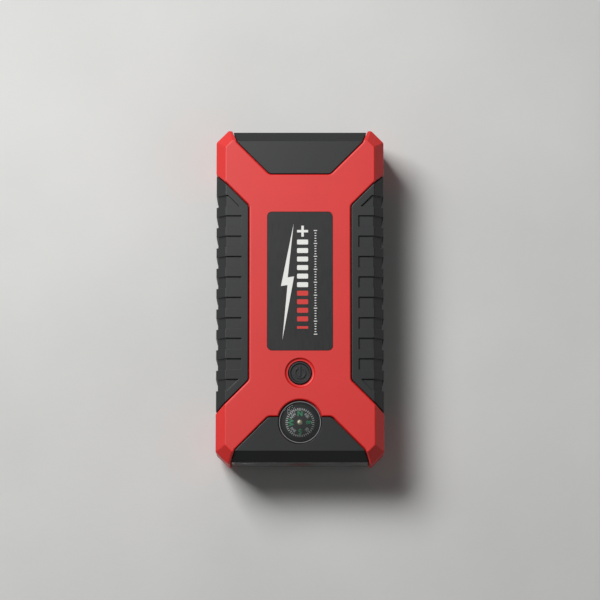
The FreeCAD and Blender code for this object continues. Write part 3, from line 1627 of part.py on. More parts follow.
lead_start = contact_face - S.contact_length + S.lead_cup
tab_rear = battery_rear + S.tab_length
tab_z = battery_low + cell_pitch + S.cell_thick / 2
TAB_X = {"positive": S.tab_inner_x, "negative": S.tab_outer_x}
for name, x in CONTACTS.items():
    lead_bend_y = tab_rear + (lead_start - tab_rear) * 0.22
    lead_turn_y = tab_rear + (lead_start - tab_rear) * 0.5
    keep(route(f"{name}_lead", [
        (x, lead_start, S.jump_z),
        (x, lead_turn_y, S.jump_z),
        (TAB_X[name], lead_bend_y, tab_z),
        (TAB_X[name], tab_rear, tab_z),
    ], S.lead_radius))
over_cells = stack_high + S.strap_thick + S.fine_lead_radius * 1.8
keep(route("lamp_lead", [
    (S.lamp_lead_x, lamp_board_back, over_cells - 3),
    (S.lamp_lead_x, lamp_board_back + 3, over_cells - 3),
    (S.lamp_lead_x, lamp_board_back + 9, over_cells),
    (S.lamp_lead_x, battery_rear + 1.5, over_cells),
    (S.lamp_lead_x, battery_rear + 4.5, over_cells - 6),
    (S.lamp_lead_x, board_front + 1.2, board_high),
], S.fine_lead_radius))
keep(group("board_screws", [
    screw(f"board_screw_{i}", *small_screw, x, y, board_high, head_down=False)
    for i, (x, y) in enumerate(BOARD_POSTS)
]))

# ---------------------------------------------------------------------------------------------
# Recompute, check and write every piece
# ---------------------------------------------------------------------------------------------
doc.recompute()
for thing in doc.Objects:
    if {"Invalid", "Error"} & set(thing.State):
        raise RuntimeError(f"{thing.Label} ({thing.TypeId}) did not compute: {thing.State}")
os.makedirs("parts", exist_ok=True)
for node in NODES:
    shape = node.Shape
    if shape.isNull() or not shape.isValid() or not shape.Solids:
        raise RuntimeError(f"{node.Label} is not a valid solid")
    shape.exportStep(f"parts/{node.Label}.step")
    box = shape.BoundBox
    spans = f"{box.XLength:7.2f} {box.YLength:7.2f} {box.ZLength:7.2f}"
    print(f"{node.Label:24s} {len(shape.Solids)} solid  {spans}")
print(f"{len(NODES)} pieces written")
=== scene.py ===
# %% [markdown]
# # A jump starter pack, finished in Blender
# The pack is a pocket battery for starting a car: a red two-part case with soft black grips, a button, a
# small compass, lamps at the near end and sockets at the far end. Every hard piece was already modelled to
# size, so this file takes those pieces as they are, adds the small pieces that only matter to the eye, such
# as print and contact strips, and gives every piece its finish.

# %% Load the measured pieces
import json
import math

import bmesh
import bpy
import numpy as np
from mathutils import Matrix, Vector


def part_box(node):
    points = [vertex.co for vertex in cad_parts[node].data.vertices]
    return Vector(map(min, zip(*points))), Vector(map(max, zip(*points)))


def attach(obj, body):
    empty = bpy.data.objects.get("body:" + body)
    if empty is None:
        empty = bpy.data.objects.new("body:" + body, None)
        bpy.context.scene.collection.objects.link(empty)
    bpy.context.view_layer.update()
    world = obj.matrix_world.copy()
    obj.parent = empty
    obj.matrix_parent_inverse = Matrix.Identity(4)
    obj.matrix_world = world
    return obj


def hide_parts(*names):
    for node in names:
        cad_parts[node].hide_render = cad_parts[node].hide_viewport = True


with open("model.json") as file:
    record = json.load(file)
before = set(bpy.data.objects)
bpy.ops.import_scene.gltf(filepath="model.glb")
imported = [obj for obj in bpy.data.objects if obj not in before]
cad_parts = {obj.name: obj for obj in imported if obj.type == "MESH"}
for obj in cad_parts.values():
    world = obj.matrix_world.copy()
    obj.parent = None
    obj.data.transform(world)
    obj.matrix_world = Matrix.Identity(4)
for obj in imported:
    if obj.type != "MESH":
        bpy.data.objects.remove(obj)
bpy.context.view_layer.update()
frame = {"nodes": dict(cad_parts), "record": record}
nodes = frame["nodes"]
MM = 0.001
bodies = frame["record"]["behaviour"]["bodies"]
body_of_node = {node: body for body, members in bodies.items() for node in members}

# %% [markdown]
# ## Writing shader maths as sums
# A finish is a small sum: so much grain, plus so much slow drift, masked by where a stripe or a track is.
# Blender writes it as a web of Math nodes, which is slow to read. The class below wraps one socket, so that
# `1 - mask * 0.5` adds the two Math nodes by itself, and Finish.node adds any other node.


# %% The two helpers that every finish uses
BEVEL_SAMPLES = 6


class Wire:
    """One output socket. A sum written with it adds Math nodes and gives a new Wire."""

    def __init__(self, finish, socket):
        self.finish = finish
        self.socket = socket

    def __add__(self, other):
        return self.finish.maths("ADD", self, other)

    def __radd__(self, other):
        return self.finish.maths("ADD", other, self)

    def __sub__(self, other):
        return self.finish.maths("SUBTRACT", self, other)

    def __rsub__(self, other):
        return self.finish.maths("SUBTRACT", other, self)

    def __mul__(self, other):
        return self.finish.maths("MULTIPLY", self, other)

    def __rmul__(self, other):
        return self.finish.maths("MULTIPLY", other, self)

    def __truediv__(self, other):
        return self.finish.maths("DIVIDE", self, other)

    def __rtruediv__(self, other):
        return self.finish.maths("DIVIDE", other, self)

    def __pow__(self, other):
        return self.finish.maths("POWER", self, other)

    def __lt__(self, other):
        return self.finish.maths("LESS_THAN", self, other)

    def __gt__(self, other):
        return self.finish.maths("GREATER_THAN", self, other)

    def __abs__(self):
        return self.finish.maths("ABSOLUTE", self)

    def clamped(self, low, high):
        """This value, moved from low..high to 0..1 and held there."""
        sockets = {"Value": self, "From Min": low, "From Max": high}
        return self.finish.node("ShaderNodeMapRange", {"clamp": True}, sockets)


class Finish:
    """One material in the making. Keyword names are its shader's sockets, with spaces as underscores."""

    def __init__(self, name, **sockets):
        self.material = bpy.data.materials.new(name)
        self.material.use_nodes = True
        self.tree = self.material.node_tree
        self.shader = self.tree.nodes["Principled BSDF"]
        for socket, value in sockets.items():
            self.shader.inputs[socket.replace("_", " ")].default_value = value

    def node(self, kind, settings=None, values=(), output=0):
        """Adds a node of a type, sets its settings, then fills its sockets by order or by name."""
        made = self.tree.nodes.new(kind)
        for key, setting in (settings or {}).items():
            setattr(made, key, setting)
        named = values.items() if isinstance(values, dict) else enumerate(values)
        for key, value in named:
            self.fill(made.inputs[key], value)
        return Wire(self, made.outputs[output])

    def fill(self, socket, value):
        """Links a Wire to a socket, or sets a plain value on it."""
        if isinstance(value, Wire):
            self.tree.links.new(value.socket, socket)
        else:
            socket.default_value = value

    def maths(self, operation, *values):
        """One Math node: the operators above come here, and so does what Python has no operator for."""
        return self.node("ShaderNodeMath", {"operation": operation}, values)

    def feed(self, name, wire):
        """Links a Wire to one of the shader's own sockets."""
        self.tree.links.new(wire.socket, self.shader.inputs[name])

    def place(self):
        """The point on the piece, in metres, in the object's own frame."""
        return self.node("ShaderNodeTexCoord", output="Object")

    def axes(self):
        """The point's x, y and z as three Wires."""
        split = self.tree.nodes.new("ShaderNodeSeparateXYZ")
        self.fill(split.inputs[0], self.place())
        return [Wire(self, split.outputs[i]) for i in range(3)]

    def stretched(self, scale):
        """The point, scaled along each axis."""
        return self.node("ShaderNodeVectorMath", {"operation": "MULTIPLY"}, [self.place(), scale])

    def noise(self, size, detail=2.0, stretch=None):
        """Soft random values about 0.5, in blotches about size metres across."""
        where = self.stretched(stretch) if stretch else self.place()
        sockets = {"Vector": where, "Scale": 1 / size, "Detail": detail}
        return self.node("ShaderNodeTexNoise", {}, sockets)

    def cells(self, size):
        """Distance to the nearest of scattered points, about size metres apart."""
        return self.node("ShaderNodeTexVoronoi", {}, {"Vector": self.place(), "Scale": 1 / size})

    def blend(self, factor, first, second):
        """A colour between two colours. A Mix node's sockets share their names, so they go by order."""
        return self.node("ShaderNodeMix", {"data_type": "RGBA"}, {0: factor, 6: first, 7: second}, output=2)

    def bump(self, height, depth, edge=0.0):
        """Raises and sinks the surface by up to depth metres, and softens corners over edge metres."""
        sockets = {"Height": height, "Distance": depth, "Strength": 1.0}
        if edge:
            sockets["Normal"] = self.node("ShaderNodeBevel", {"samples": BEVEL_SAMPLES}, {"Radius": edge})
        self.feed("Normal", self.node("ShaderNodeBump", {}, sockets))


def colour(red, green, blue):
    """An sRGB colour of 0 to 255 as the linear values that a shader reads."""
    share = np.array([red, green, blue]) / 255
    linear = np.where(share <= 0.04045, share / 12.92, ((share + 0.055) / 1.055) ** 2.4)
    return (*map(float, linear), 1.0)


print("helpers ready")

# %% [markdown]
# ## The floor, the light and the camera
# The pack lies on a plain pale sheet. One large soft light stands to the far left, so that the shadow falls
# to the right. A small weak panel stands nearer, where the dome of the compass glass can mirror it, and a
# weak fill keeps the shadow open. A long lens from almost straight above keeps the pack's sides parallel.

# %% Stage
FLOOR_SIZE = 6.0
FLOOR_DARK = colour(203, 203, 201)
FLOOR_PALE = colour(212, 212, 210)
CAMERA_TILT = math.radians(7.5)
CAMERA_DISTANCE = 1.6
CAMERA_REACH = 20.0
LENS = 188.0
AIM = (0.0, 0.0, 0.0198)
LIGHTS = {
    # name: place in metres, width in metres, power in watts
    "key": ((-0.51, 0.51, 0.90), 0.5, 13.6),
    "panel": ((-0.25, 0.355, 1.01), 0.22, 0.7),
    "fill": ((1.1, -0.5, 1.7), 1.6, 2.3),
    "front": ((-0.6, -1.8, 1.6), 1.0, 0.1),
}
WORLD_LIGHT = 0.07


def stage():
    """A pale floor with a faint cloudy tone, and the soft lights."""
    bpy.ops.mesh.primitive_plane_add(size=FLOOR_SIZE, location=(0, 0, 0))
    floor = bpy.context.object
    floor.name = "floor"
    paper = Finish("pale_floor", Roughness=0.85)
    clouds = paper.noise(0.12, 5.0).clamped(0.3, 0.7)
    paper.feed("Base Color", paper.blend(clouds, FLOOR_DARK, FLOOR_PALE))
    paper.bump(paper.noise(0.004, 4.0), 0.00008)
    floor.data.materials.append(paper.material)
    for name, (place, size, power) in LIGHTS.items():
        data = bpy.data.lights.new(name, "AREA")
        data.size = size
        data.energy = power
        light = bpy.data.objects.new(name, data)
        bpy.context.collection.objects.link(light)
        light.location = place
        x, y, z = place
        light.rotation_euler = (math.atan2(math.hypot(x, y), z), 0.0, math.atan2(x, -y))
    world = bpy.data.worlds.new("studio")
    world.use_nodes = True
    background = world.node_tree.nodes["Background"]
    background.inputs["Color"].default_value = (1.0, 1.0, 1.0, 1.0)
    background.inputs["Strength"].default_value = WORLD_LIGHT
    bpy.context.scene.world = world


def camera():
    """A long lens tilted a little towards the lamp end."""
    data = bpy.data.cameras.new("camera")
    data.lens = LENS
    data.clip_end = CAMERA_REACH
    made = bpy.data.objects.new("camera", data)
    bpy.context.collection.objects.link(made)
    made.rotation_euler = (CAMERA_TILT, 0.0, 0.0)
    back = CAMERA_DISTANCE * math.sin(CAMERA_TILT)
    made.location = (AIM[0], AIM[1] - back, AIM[2] + CAMERA_DISTANCE * math.cos(CAMERA_TILT))
    bpy.context.scene.camera = made


stage()
camera()
bpy.context.scene.view_settings.view_transform = "Standard"
print("camera", CAMERA_DISTANCE, "m away, tilted", round(math.degrees(CAMERA_TILT), 1), "degrees")

# %% [markdown]
# ## Moulded plastic and rubber
# The case is a rigid red plastic with a fine spark-eroded grain, and the grips and trims are a softer black
# plastic moulded over it. Both could be one colour with one roughness, but a real moulding drifts a little in
# tone over a few centimetres, and its grain breaks up the shine. So each finish mixes three sizes of noise: a
# slow drift, a grain that the eye just resolves, and a fine speckle. A Bevel node softens the corners of most
# pieces, because no mould leaves one sharp. Its radius is set on each finish.


# %% The moulded finishes
GRAIN_SHINE = 0.22
DRIFT_SHINE = 0.06


def shade(base, factor):
    """A colour made darker or lighter by a factor."""
    return (*(min(channel * factor, 1.0) for channel in base[:3]), 1.0)


def moulded(name, base, roughness, grain=0.00045, depth=0.000012, drift=0.06, edge=0.00022, **sockets):
    """A moulded plastic.

    drift is the share by which the colour wanders. grain and depth are the texture's size and height, and
    edge is the radius over which corners are softened, all in metres.
    """
    finish = Finish(name, **sockets)
    slow = finish.noise(0.035, 3.0).clamped(0.25, 0.75)
    fine = finish.noise(grain, 3.0)
    speckle = finish.noise(grain * 0.4, 1.0)
    tone = (slow * 0.6 + fine.clamped(0.3, 0.7) * 0.4).clamped(0.0, 1.0)
    finish.feed("Base Color", finish.blend(tone, shade(base, 1 - drift), shade(base, 1 + drift)))
    finish.feed("Roughness", roughness + (fine - 0.5) * GRAIN_SHINE + (slow - 0.5) * DRIFT_SHINE)
    finish.bump(fine * 0.7 + speckle * 0.3, depth, edge)
    return finish.material


RED = colour(213, 24, 18)
BLACK = colour(17, 19, 21)
finishes = {
    "red_plastic": moulded("red_plastic", RED, 0.5, edge=0.0, Specular_IOR_Level=0.72),
    "black_rubber": moulded(
        "black_rubber", BLACK, 0.47, grain=0.0004, depth=0.00002, drift=0.09, edge=0.0004,
        Specular_IOR_Level=0.58,
    ),
    "black_plastic": moulded("black_plastic", colour(25, 26, 28), 0.42, grain=0.0003),
    "button_plastic": moulded("button_plastic", colour(30, 31, 33), 0.48, grain=0.0003, edge=0.00016),
    "foot_rubber": moulded("foot_rubber", colour(28, 28, 29), 0.8, grain=0.0006, depth=0.00003, drift=0.12),
    "gloss_black": moulded("gloss_black", colour(12, 12, 13), 0.2, grain=0.0008, depth=0.000003, drift=0.1),
    "card_black": moulded("card_black", colour(14, 16, 15), 0.45, grain=0.0002, depth=0.000004, edge=0.0),
    "socket_blue": moulded("socket_blue", colour(32, 76, 150), 0.4, grain=0.0003),
    "tongue_blue": moulded("tongue_blue", colour(36, 92, 178), 0.35, grain=0.0002, depth=0.000006),
    "switch_white": moulded("switch_white", colour(206, 204, 196), 0.45, grain=0.0003),
    "lead_red": moulded("lead_red", colour(186, 32, 28), 0.5, grain=0.0006, depth=0.00001, edge=0.0),
    "lead_black": moulded("lead_black", colour(30, 30, 32), 0.5, grain=0.0006, depth=0.00001, edge=0.0),
}
print(len(finishes), "moulded finishes")

# %% [markdown]
# ## Label film, metal, foil and boards
# The label is a printed film with a faint drawn grain along its length. Turned and drawn metal shows fine
# scratches in one direction, so its noise is stretched that way. The cells are wrapped in a crinkled foil,
# and the boards carry copper tracks under green lacquer, which are straight lines switched on and off by a
# soft noise.


# %% Metals, film, foil and boards
def film(name, base, roughness):
    """A printed film: long thin streaks of slightly different tone and shine."""
    finish = Finish(name)
    streaks = finish.noise(0.0006, 2.0, (1.0, 0.08, 1.0))
    cloud = finish.noise(0.02, 2.0)
    finish.feed("Base Color", finish.blend(streaks.clamped(0.25, 0.75), shade(base, 0.9), shade(base, 1.12)))
    finish.feed("Roughness", roughness + (streaks - 0.5) * 0.2 + (cloud - 0.5) * 0.1)
    finish.bump(streaks, 0.000004, 0.0001)
    return finish.material


def metal(name, base, roughness, stretch, size=0.0012, depth=0.000004):
    """A bare metal whose scratches run along the axis with the smallest stretch."""
    finish = Finish(name, Metallic=1.0)
    scratches = finish.noise(size, 4.0, stretch)
    stain = finish.noise(0.006, 3.0).clamped(0.35, 0.75)
    finish.feed("Base Color", finish.blend(stain, base, shade(base, 0.84)))
    finish.feed("Roughness", roughness + (scratches - 0.5) * 0.24 + stain * 0.06)
    finish.bump(scratches, depth, 0.0001)
    return finish.material


def foil(name):
    """Aluminium laminate: broad soft dents with sharper crinkles."""
    finish = Finish(name, Metallic=0.9)
    dents = finish.noise(0.012, 3.0)
    crinkle = finish.cells(0.005).clamped(0.0, 0.8)
    base = colour(196, 199, 203)
    finish.feed("Base Color", finish.blend(dents.clamped(0.3, 0.7), shade(base, 0.88), base))
    finish.feed("Roughness", 0.34 + (dents - 0.5) * 0.2)
    finish.bump(dents * 0.7 + crinkle * 0.3, 0.00012)
    return finish.material


TRACK_PITCH = 0.0012
TRACK_PITCH_LONG = 0.0016


def board(name):
    """Green lacquer over copper tracks: lines one way where a soft noise is high, the other way where low."""
    finish = Finish(name)
    x, y, z = finish.axes()
    chance = finish.noise(0.004, 0.0)
    across = abs(finish.maths("SINE", (x + z) * (math.pi / TRACK_PITCH))) > 0.93
    along = abs(finish.maths("SINE", y * (math.pi / TRACK_PITCH_LONG))) > 0.95
    tracks = (across * (chance > 0.52) + along * (chance < 0.48)).clamped(0.0, 1.0)
    speckle = finish.noise(0.0005, 2.0)
    lacquer = finish.blend(speckle, colour(14, 74, 44), colour(22, 92, 56))
    finish.feed("Base Color", finish.blend(tracks, lacquer, colour(66, 136, 84)))
    finish.feed("Roughness", 0.3 + (speckle - 0.5) * 0.15 + tracks * 0.08)
    finish.bump(tracks * 0.8 + speckle * 0.2, 0.00002, 0.00008)
    return finish.material


ALONG_X = (0.06, 1.0, 1.0)
ALONG_Y = (1.0, 0.06, 1.0)
ALONG_Z = (1.0, 1.0, 0.06)
finishes |= {
    "label_grey": film("label_grey", colour(25, 26, 27), 0.42),
    "dark_steel": metal("dark_steel", colour(92, 93, 96), 0.4, ALONG_Z),
    "bright_steel": metal("bright_steel", colour(190, 191, 194), 0.28, ALONG_X),
    "tin_metal": metal("tin_metal", colour(204, 205, 207), 0.26, ALONG_Y),
    "strap_nickel": metal("strap_nickel", colour(196, 192, 180), 0.3, ALONG_X),
    "brass_metal": metal("brass_metal", colour(198, 158, 84), 0.25, ALONG_Z),
    "pale_brass": metal("pale_brass", colour(226, 216, 184), 0.4, (1.0, 1.0, 1.0), 0.0009, 0.00005),
    "gold_contact": metal("gold_contact", colour(214, 172, 92), 0.22, ALONG_Y),
    "bowl_chrome": metal("bowl_chrome", colour(232, 233, 235), 0.08, (1.0, 1.0, 1.0), depth=0.000002),
    "cell_foil": foil("cell_foil"),
    "board_green": board("board_green"),
}
print(len(finishes), "finishes with the metals and boards")

# %% [markdown]
# ## Clear pieces
# A clear pane could be refractive glass, but then light reaches what is behind it only by luck, and the
# picture stays noisy. These panes are thin, so nothing is bent visibly. Each is a mix of plain see-through
# and a glossy shader. The Fresnel share, which grows towards a glancing view, sets how much of each is seen,
# and a gain on it makes a pane read as one from straight above.


# %% Glass, lenses and lamps
GLASS_INDEX = 1.5
MIRROR_GAIN = 2.6
CHIP_RADIUS = 1.1 * MM
CHIP_FADES_AT = 1.5 * MM


def clear(name, tint, roughness, least=0.0, wave=0.000002):
    """A see-through pane with a tint, at least this share of which is solid gloss."""
    finish = Finish(name, Base_Color=shade(tint, 0.25), Specular_IOR_Level=0.9)
    smear = finish.noise(0.004, 3.0)
    finish.feed("Roughness", roughness + (smear - 0.5) * 0.04)
    finish.bump(smear, wave)
    through = finish.node("ShaderNodeBsdfTransparent", {}, [tint])
    mirror = finish.node("ShaderNodeFresnel", {}, {"IOR": GLASS_INDEX})
    share = (mirror * MIRROR_GAIN + least).clamped(0.0, 1.0)
    seen = finish.node("ShaderNodeMixShader", {}, [share, through, Wire(finish, finish.shader.outputs[0])])
    finish.tree.links.new(seen.socket, finish.tree.nodes["Material Output"].inputs["Surface"])
    return finish.material


def red_lens():
    """Deep red clear plastic with an inner prism pattern of small pyramids."""
    finish = Finish("red_lens", Transmission_Weight=0.35, Coat_Weight=0.6, Coat_Roughness=0.05)
    x, _, z = finish.axes()
    pitch = 0.0011
    prisms = abs(finish.maths("FRACT", x / pitch) - 0.5) + abs(finish.maths("FRACT", z / pitch) - 0.5)
    finish.feed("Base Color", finish.blend(prisms.clamped(0.0, 1.0), colour(150, 10, 12), colour(96, 4, 8)))
    finish.feed("Roughness", 0.16 + finish.noise(0.002, 2.0) * 0.08)
    finish.bump(prisms, 0.00008)
    return finish.material


def lamp_finish(name, centre_x, rim, core):
    """A moulded lamp: a pale body with a coloured chip at the middle of its dome."""
    finish = Finish(name, Coat_Weight=0.8)
    x, _, z = finish.axes()
    (_, _, low), (_, _, top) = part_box("lamp_left")
    away_x = abs(x) - centre_x
    away_z = z - (top + low) / 2
    radius = (away_x * away_x + away_z * away_z) ** 0.5
    chip = 1 - radius.clamped(CHIP_RADIUS, CHIP_FADES_AT)
    grain = finish.noise(0.0004, 2.0)
    finish.feed("Base Color", finish.blend(chip, rim, core))
    finish.feed("Roughness", 0.22 + grain * 0.15)
    finish.bump(grain, 0.000004)
    return finish.material


(lamp_low_x, _, _), (lamp_high_x, _, _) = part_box("lamp_right")
LAMP_X = (lamp_low_x + lamp_high_x) / 2
finishes |= {
    "clear_lens": clear("clear_lens", colour(248, 250, 250), 0.03),
    "clear_window": clear("clear_window", colour(214, 216, 218), 0.06, 0.03),
    "smoked_window": clear("smoked_window", colour(120, 124, 128), 0.08, 0.12),
    "red_lens": red_lens(),
    "lamp_clear": lamp_finish("lamp_clear", LAMP_X, colour(226, 226, 220), colour(232, 206, 70)),
    "lamp_red": lamp_finish("lamp_red", 0.0, colour(226, 200, 196), colour(196, 40, 36)),
}
print("lamps at x", round(LAMP_X / MM, 2), "mm")


# %% [markdown]
# ## Finishes that follow a piece's shape
# A can capacitor has a printed sleeve with one pale stripe down the side of its negative lead, and a bare
# top. Both are found from the place on the piece: the cans stand in a row along x, so the stripe is all that
# lies past one y, and the bare top is all that lies above one z. The ring round the compass has a painted
# highlight on its bead, which is a band of distances from the ring's middle.


# %% The capacitor sleeve and the compass ring
SLEEVE_SHORT = 0.3 * MM
STRIPE_DEEP = 0.9 * MM
# Where the painted highlight on the compass ring's bead lies: its inset from the rim, its half width, and
# where it fades out.
BEAD_INSET = 0.5 * MM
HIGHLIGHT_HALF = 0.12 * MM
HIGHLIGHT_FADES_AT = 0.3 * MM


def can_sleeve():
    """A dark sleeve with a pale stripe towards the pack's far end, and a bare metal top."""
    finish = Finish("can_sleeve")
    _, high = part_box("capacitors")
    _, y, z = finish.axes()
    top = z > high[2] - SLEEVE_SHORT
    stripe = y > high[1] - STRIPE_DEEP
    sleeve = finish.blend(stripe, colour(34, 36, 44), colour(176, 178, 184))
    finish.feed("Base Color", finish.blend(top, sleeve, colour(198, 199, 201)))
    finish.feed("Metallic", top * 0.95)
    grain = finish.noise(0.0005, 2.0)
    finish.feed("Roughness", 0.35 + (grain - 0.5) * 0.2)
    finish.bump(grain, 0.000006, 0.0001)
    return finish.material


def ring_satin_highlight():
    """Black plastic with a painted highlight on its rounded top bead: a band of distances from the ring's
    middle.
    """
    finish = Finish("ring_satin_highlight", Coat_Weight=0.3)
    low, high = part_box("compass_ring")
    x, y, _ = finish.axes()
    away_x = x - (low[0] + high[0]) / 2
    away_y = y - (low[1] + high[1]) / 2
    radius = (away_x * away_x + away_y * away_y) ** 0.5
    outer = (high[0] - low[0]) / 2
    band = 1 - abs(radius - (outer - BEAD_INSET)).clamped(HIGHLIGHT_HALF, HIGHLIGHT_FADES_AT)
    satin_blotches = finish.noise(0.0015, 3.0)
    # Painted highlight: a pale band on the bead, made patchy by the noise and mixed into the base colour.
    painted_highlight = band * (0.6 + satin_blotches * 0.8)
    finish.feed("Base Color", finish.blend(painted_highlight, colour(18, 18, 19), colour(128, 129, 131)))
    finish.feed("Roughness", 0.3 + (satin_blotches - 0.5) * 0.2)
    finish.bump(satin_blotches, 0.000006)
    return finish.material


finishes["can_sleeve"] = can_sleeve()
finishes["ring_satin_highlight"] = ring_satin_highlight()
print("capacitor sleeve and compass ring ready")

# %% [markdown]
# ## Which piece wears which finish
# The measured pieces keep their shape and only get a material, apart from the two lamp bowls, which are
# replaced further on. The list below goes by kind of finish, and a piece that is in no list stops the script,
# so that none is left plain.

# %% Dress the measured pieces
WEARS = {
    "red_plastic": ("upper_shell", "lower_shell"),
    "black_rubber": (
        "grip_left", "grip_right", "front_trim_upper", "front_trim_lower", "rear_trim_upper",
        "rear_trim_lower", "socket_cap",
    ),
    "black_plastic": (
        "port_panel", "port_cover", "lamp_carrier", "dc_jack_lower", "dc_jack_upper", "switch_housing",
        "socket_cap_anchor",
    ),
    "gloss_black": ("compass_housing",),
    # The compass ring's finish carries a painted highlight on its bead.
    "ring_satin_highlight": ("compass_ring",),
    "button_plastic": ("power_button",),
    "switch_white": ("switch_plunger",),
    "foot_rubber": ("feet",),
    "card_black": ("compass_card",),
    "label_grey": ("label_plate", "rating_plate"),
    "dark_steel": ("case_screws",),
    "bright_steel": (
        "switch_screws", "lamp_screws", "board_screws", "cover_hinge_pin", "dc_pin_lower", "dc_pin_upper",
    ),
    "tin_metal": ("usb_shell_left", "usb_shell_right"),
    "tongue_blue": ("usb_insert_left", "usb_insert_right"),
    "socket_blue": ("jump_socket",),
    "gold_contact": ("jump_contact_positive", "jump_contact_negative"),
    "brass_metal": ("compass_pivot",),
    "bowl_chrome": ("reflector_left", "reflector_right"),
    "board_green": ("switch_board", "lamp_board", "main_board", "level_board"),
    "cell_foil": ("cell_1", "cell_2", "cell_3"),
    "strap_nickel": ("battery_straps",),
    "can_sleeve": ("capacitors",),
    "lead_red": ("positive_lead",),
    "lead_black": ("negative_lead", "lamp_lead"),
    "clear_lens": ("compass_lens",),
    "clear_window": ("lamp_window",),
    "smoked_window": ("level_window",),
    "red_lens": ("warning_lens",),
    "lamp_clear": ("lamp_left", "lamp_right"),
    "lamp_red": ("warning_lamp",),
}
for finish_name, members in WEARS.items():
    for node in members:
        mesh = nodes[node].data
        mesh.materials.clear()
        mesh.materials.append(finishes[finish_name])
        mesh.polygons.foreach_set("material_index", np.zeros(len(mesh.polygons), np.int32))
undressed = sorted(set(nodes) - {node for members in WEARS.values() for node in members})
if undressed:
    raise ValueError(f"no finish for {undressed}")
print(len(nodes), "pieces dressed in", len(WEARS), "finishes")

# %% [markdown]
# ## Print on the label
# Ink is a layer a few hundredths of a millimetre thick, with a crisp edge. It could be painted by the
# material, but a bolt with a sharp outline is easier to draw as a flat shape and gives a cleaner edge. Every
# shape is an outline worked out as an array, raised into a thin plate: the outline's points repeated at two
# heights, a face on each end, and one quad between each pair of neighbours.


# %% Flat shapes and thin plates
def new_piece(name, verts, faces, material, body):
    """A mesh object from arrays, that wears one material and rides on one body."""
    mesh = bpy.data.meshes.new(name)
    mesh.from_pydata(verts, [], faces)
    mesh.materials.append(material)
    mesh.update()
    piece = bpy.data.objects.new(name, mesh)
    bpy.context.collection.objects.link(piece)
    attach(piece, body)
    return piece


def box_outline(x, y, width, height):
    """The four corners of a rectangle about its middle, anticlockwise."""
    return np.array([[-1, -1], [1, -1], [1, 1], [-1, 1]]) * (width / 2, height / 2) + (x, y)


def round_outline(x, y, width, height, radius, steps=24):
    """A rectangle with round corners: a small circle whose centre jumps to the corner it is turning round."""
    turn = (np.arange(steps) + 0.5) / steps * 2 * math.pi
    across = np.copysign(width / 2 - radius, np.cos(turn)) + radius * np.cos(turn)
    up = np.copysign(height / 2 - radius, np.sin(turn)) + radius * np.sin(turn)
    return np.stack([across + x, up + y], axis=1)


def turned(outline, angle, x=0.0, y=0.0):
    """An outline turned about the origin by an angle in radians, then moved."""
    spin = np.array([[math.cos(angle), math.sin(angle)], [-math.sin(angle), math.cos(angle)]])
    return outline @ spin + (x, y)


def plates(name, outlines, low, high, lay, material, body):
    """Thin plates from flat outlines in millimetres. lay turns (across, up, height) columns into x, y, z."""
    verts, faces, start = [], [], 0
    for outline in outlines:
        count = len(outline)
        rings = [np.column_stack([outline, np.full(count, height)]) for height in (low, high)]
        verts.append(np.vstack(rings))
        here = np.arange(count)
        after = np.roll(here, -1)
        sides = np.stack([here, after, after + count, here + count], axis=1) + start
        faces += [*sides.tolist(), (here[::-1] + start).tolist(), (here + count + start).tolist()]
        start += 2 * count
    columns = np.vstack(verts) * MM
    return new_piece(name, lay(*columns.T), faces, material, body)


def facing_up(across, up, height):
    """Flat on top of the pack: across is x and up is y."""
    return np.stack([across, up, height], axis=1)


def facing_down(across, up, height):
    """Flat under the pack, read from below: across is -x, up is y and height goes down."""
    return np.stack([-across, up, -height], axis=1)


def facing_back(across, up, height):
    """Upright at the port end, read from behind: across is -x, up is z and height goes along y."""
    return np.stack([-across, height, up], axis=1)


def ink(name, base):
    """Screen ink: an even colour with tiny pinholes in its shine."""
    finish = Finish(name)
    pores = finish.noise(0.0004, 2.0)
    finish.feed("Base Color", finish.blend(pores.clamped(0.2, 0.8), shade(base, 0.9), base))
    finish.feed("Roughness", 0.45 + (pores - 0.5) * 0.2)
    finish.bump(pores, 0.000003)
    return finish.material


inks = {
    "white": ink("ink_white", colour(236, 236, 232)),
    "red": ink("ink_red", colour(214, 52, 46)),
    "green": ink("ink_green", colour(40, 196, 132)),
    "grey": ink("ink_grey", colour(150, 152, 154)),
}
INK_THICK = 0.03
INK_SUNK = 0.01
print("inks", *inks)

# %% [markdown]
# ## The label drawing
# The label's own drawing is a plain one that says what the thing does: a long lightning bolt, a gauge of bars
# between a plus and a minus, white at the full end and red at the empty end, and a fine scale beside it.

# %% The label drawing
label_low, label_high = (np.array(corner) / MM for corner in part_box("label_plate"))
label_top = label_high[2]
label_mid_y = (label_low[1] + label_high[1]) / 2
BOLT = np.array(
    [(-3.2, 29.3), (-9.6, -2.6), (-6.3, -2.1), (-8.9, -30.1), (-3.0, 2.3), (-6.2, 1.8)]
) + (0, label_mid_y)
GAUGE_X = 1.3
GAUGE_WIDE = 5.6
BARS = 10
WHITE_BARS = 6
BAR_PITCH = 4.35
BAR_HIGH = 2.5
BAR_CORNER = 0.5
GAUGE_TOP = label_mid_y + 24.2
PLUS_LIFT = 1.2
SIGN_STROKE = 1.25
SCALE_X = 7.8
SCALE_STEPS = 41
SCALE_PITCH = 1.32
SCALE_STROKE = 0.42
MARK_LONG, MARK_SHORT = 1.7, 0.9
MARKS_PER_LONG = 5


def gauge_bar(step):
    """One bar of the gauge, counted down from the plus sign."""
    return round_outline(GAUGE_X, GAUGE_TOP - BAR_PITCH * (step + 1), GAUGE_WIDE, BAR_HIGH, BAR_CORNER)


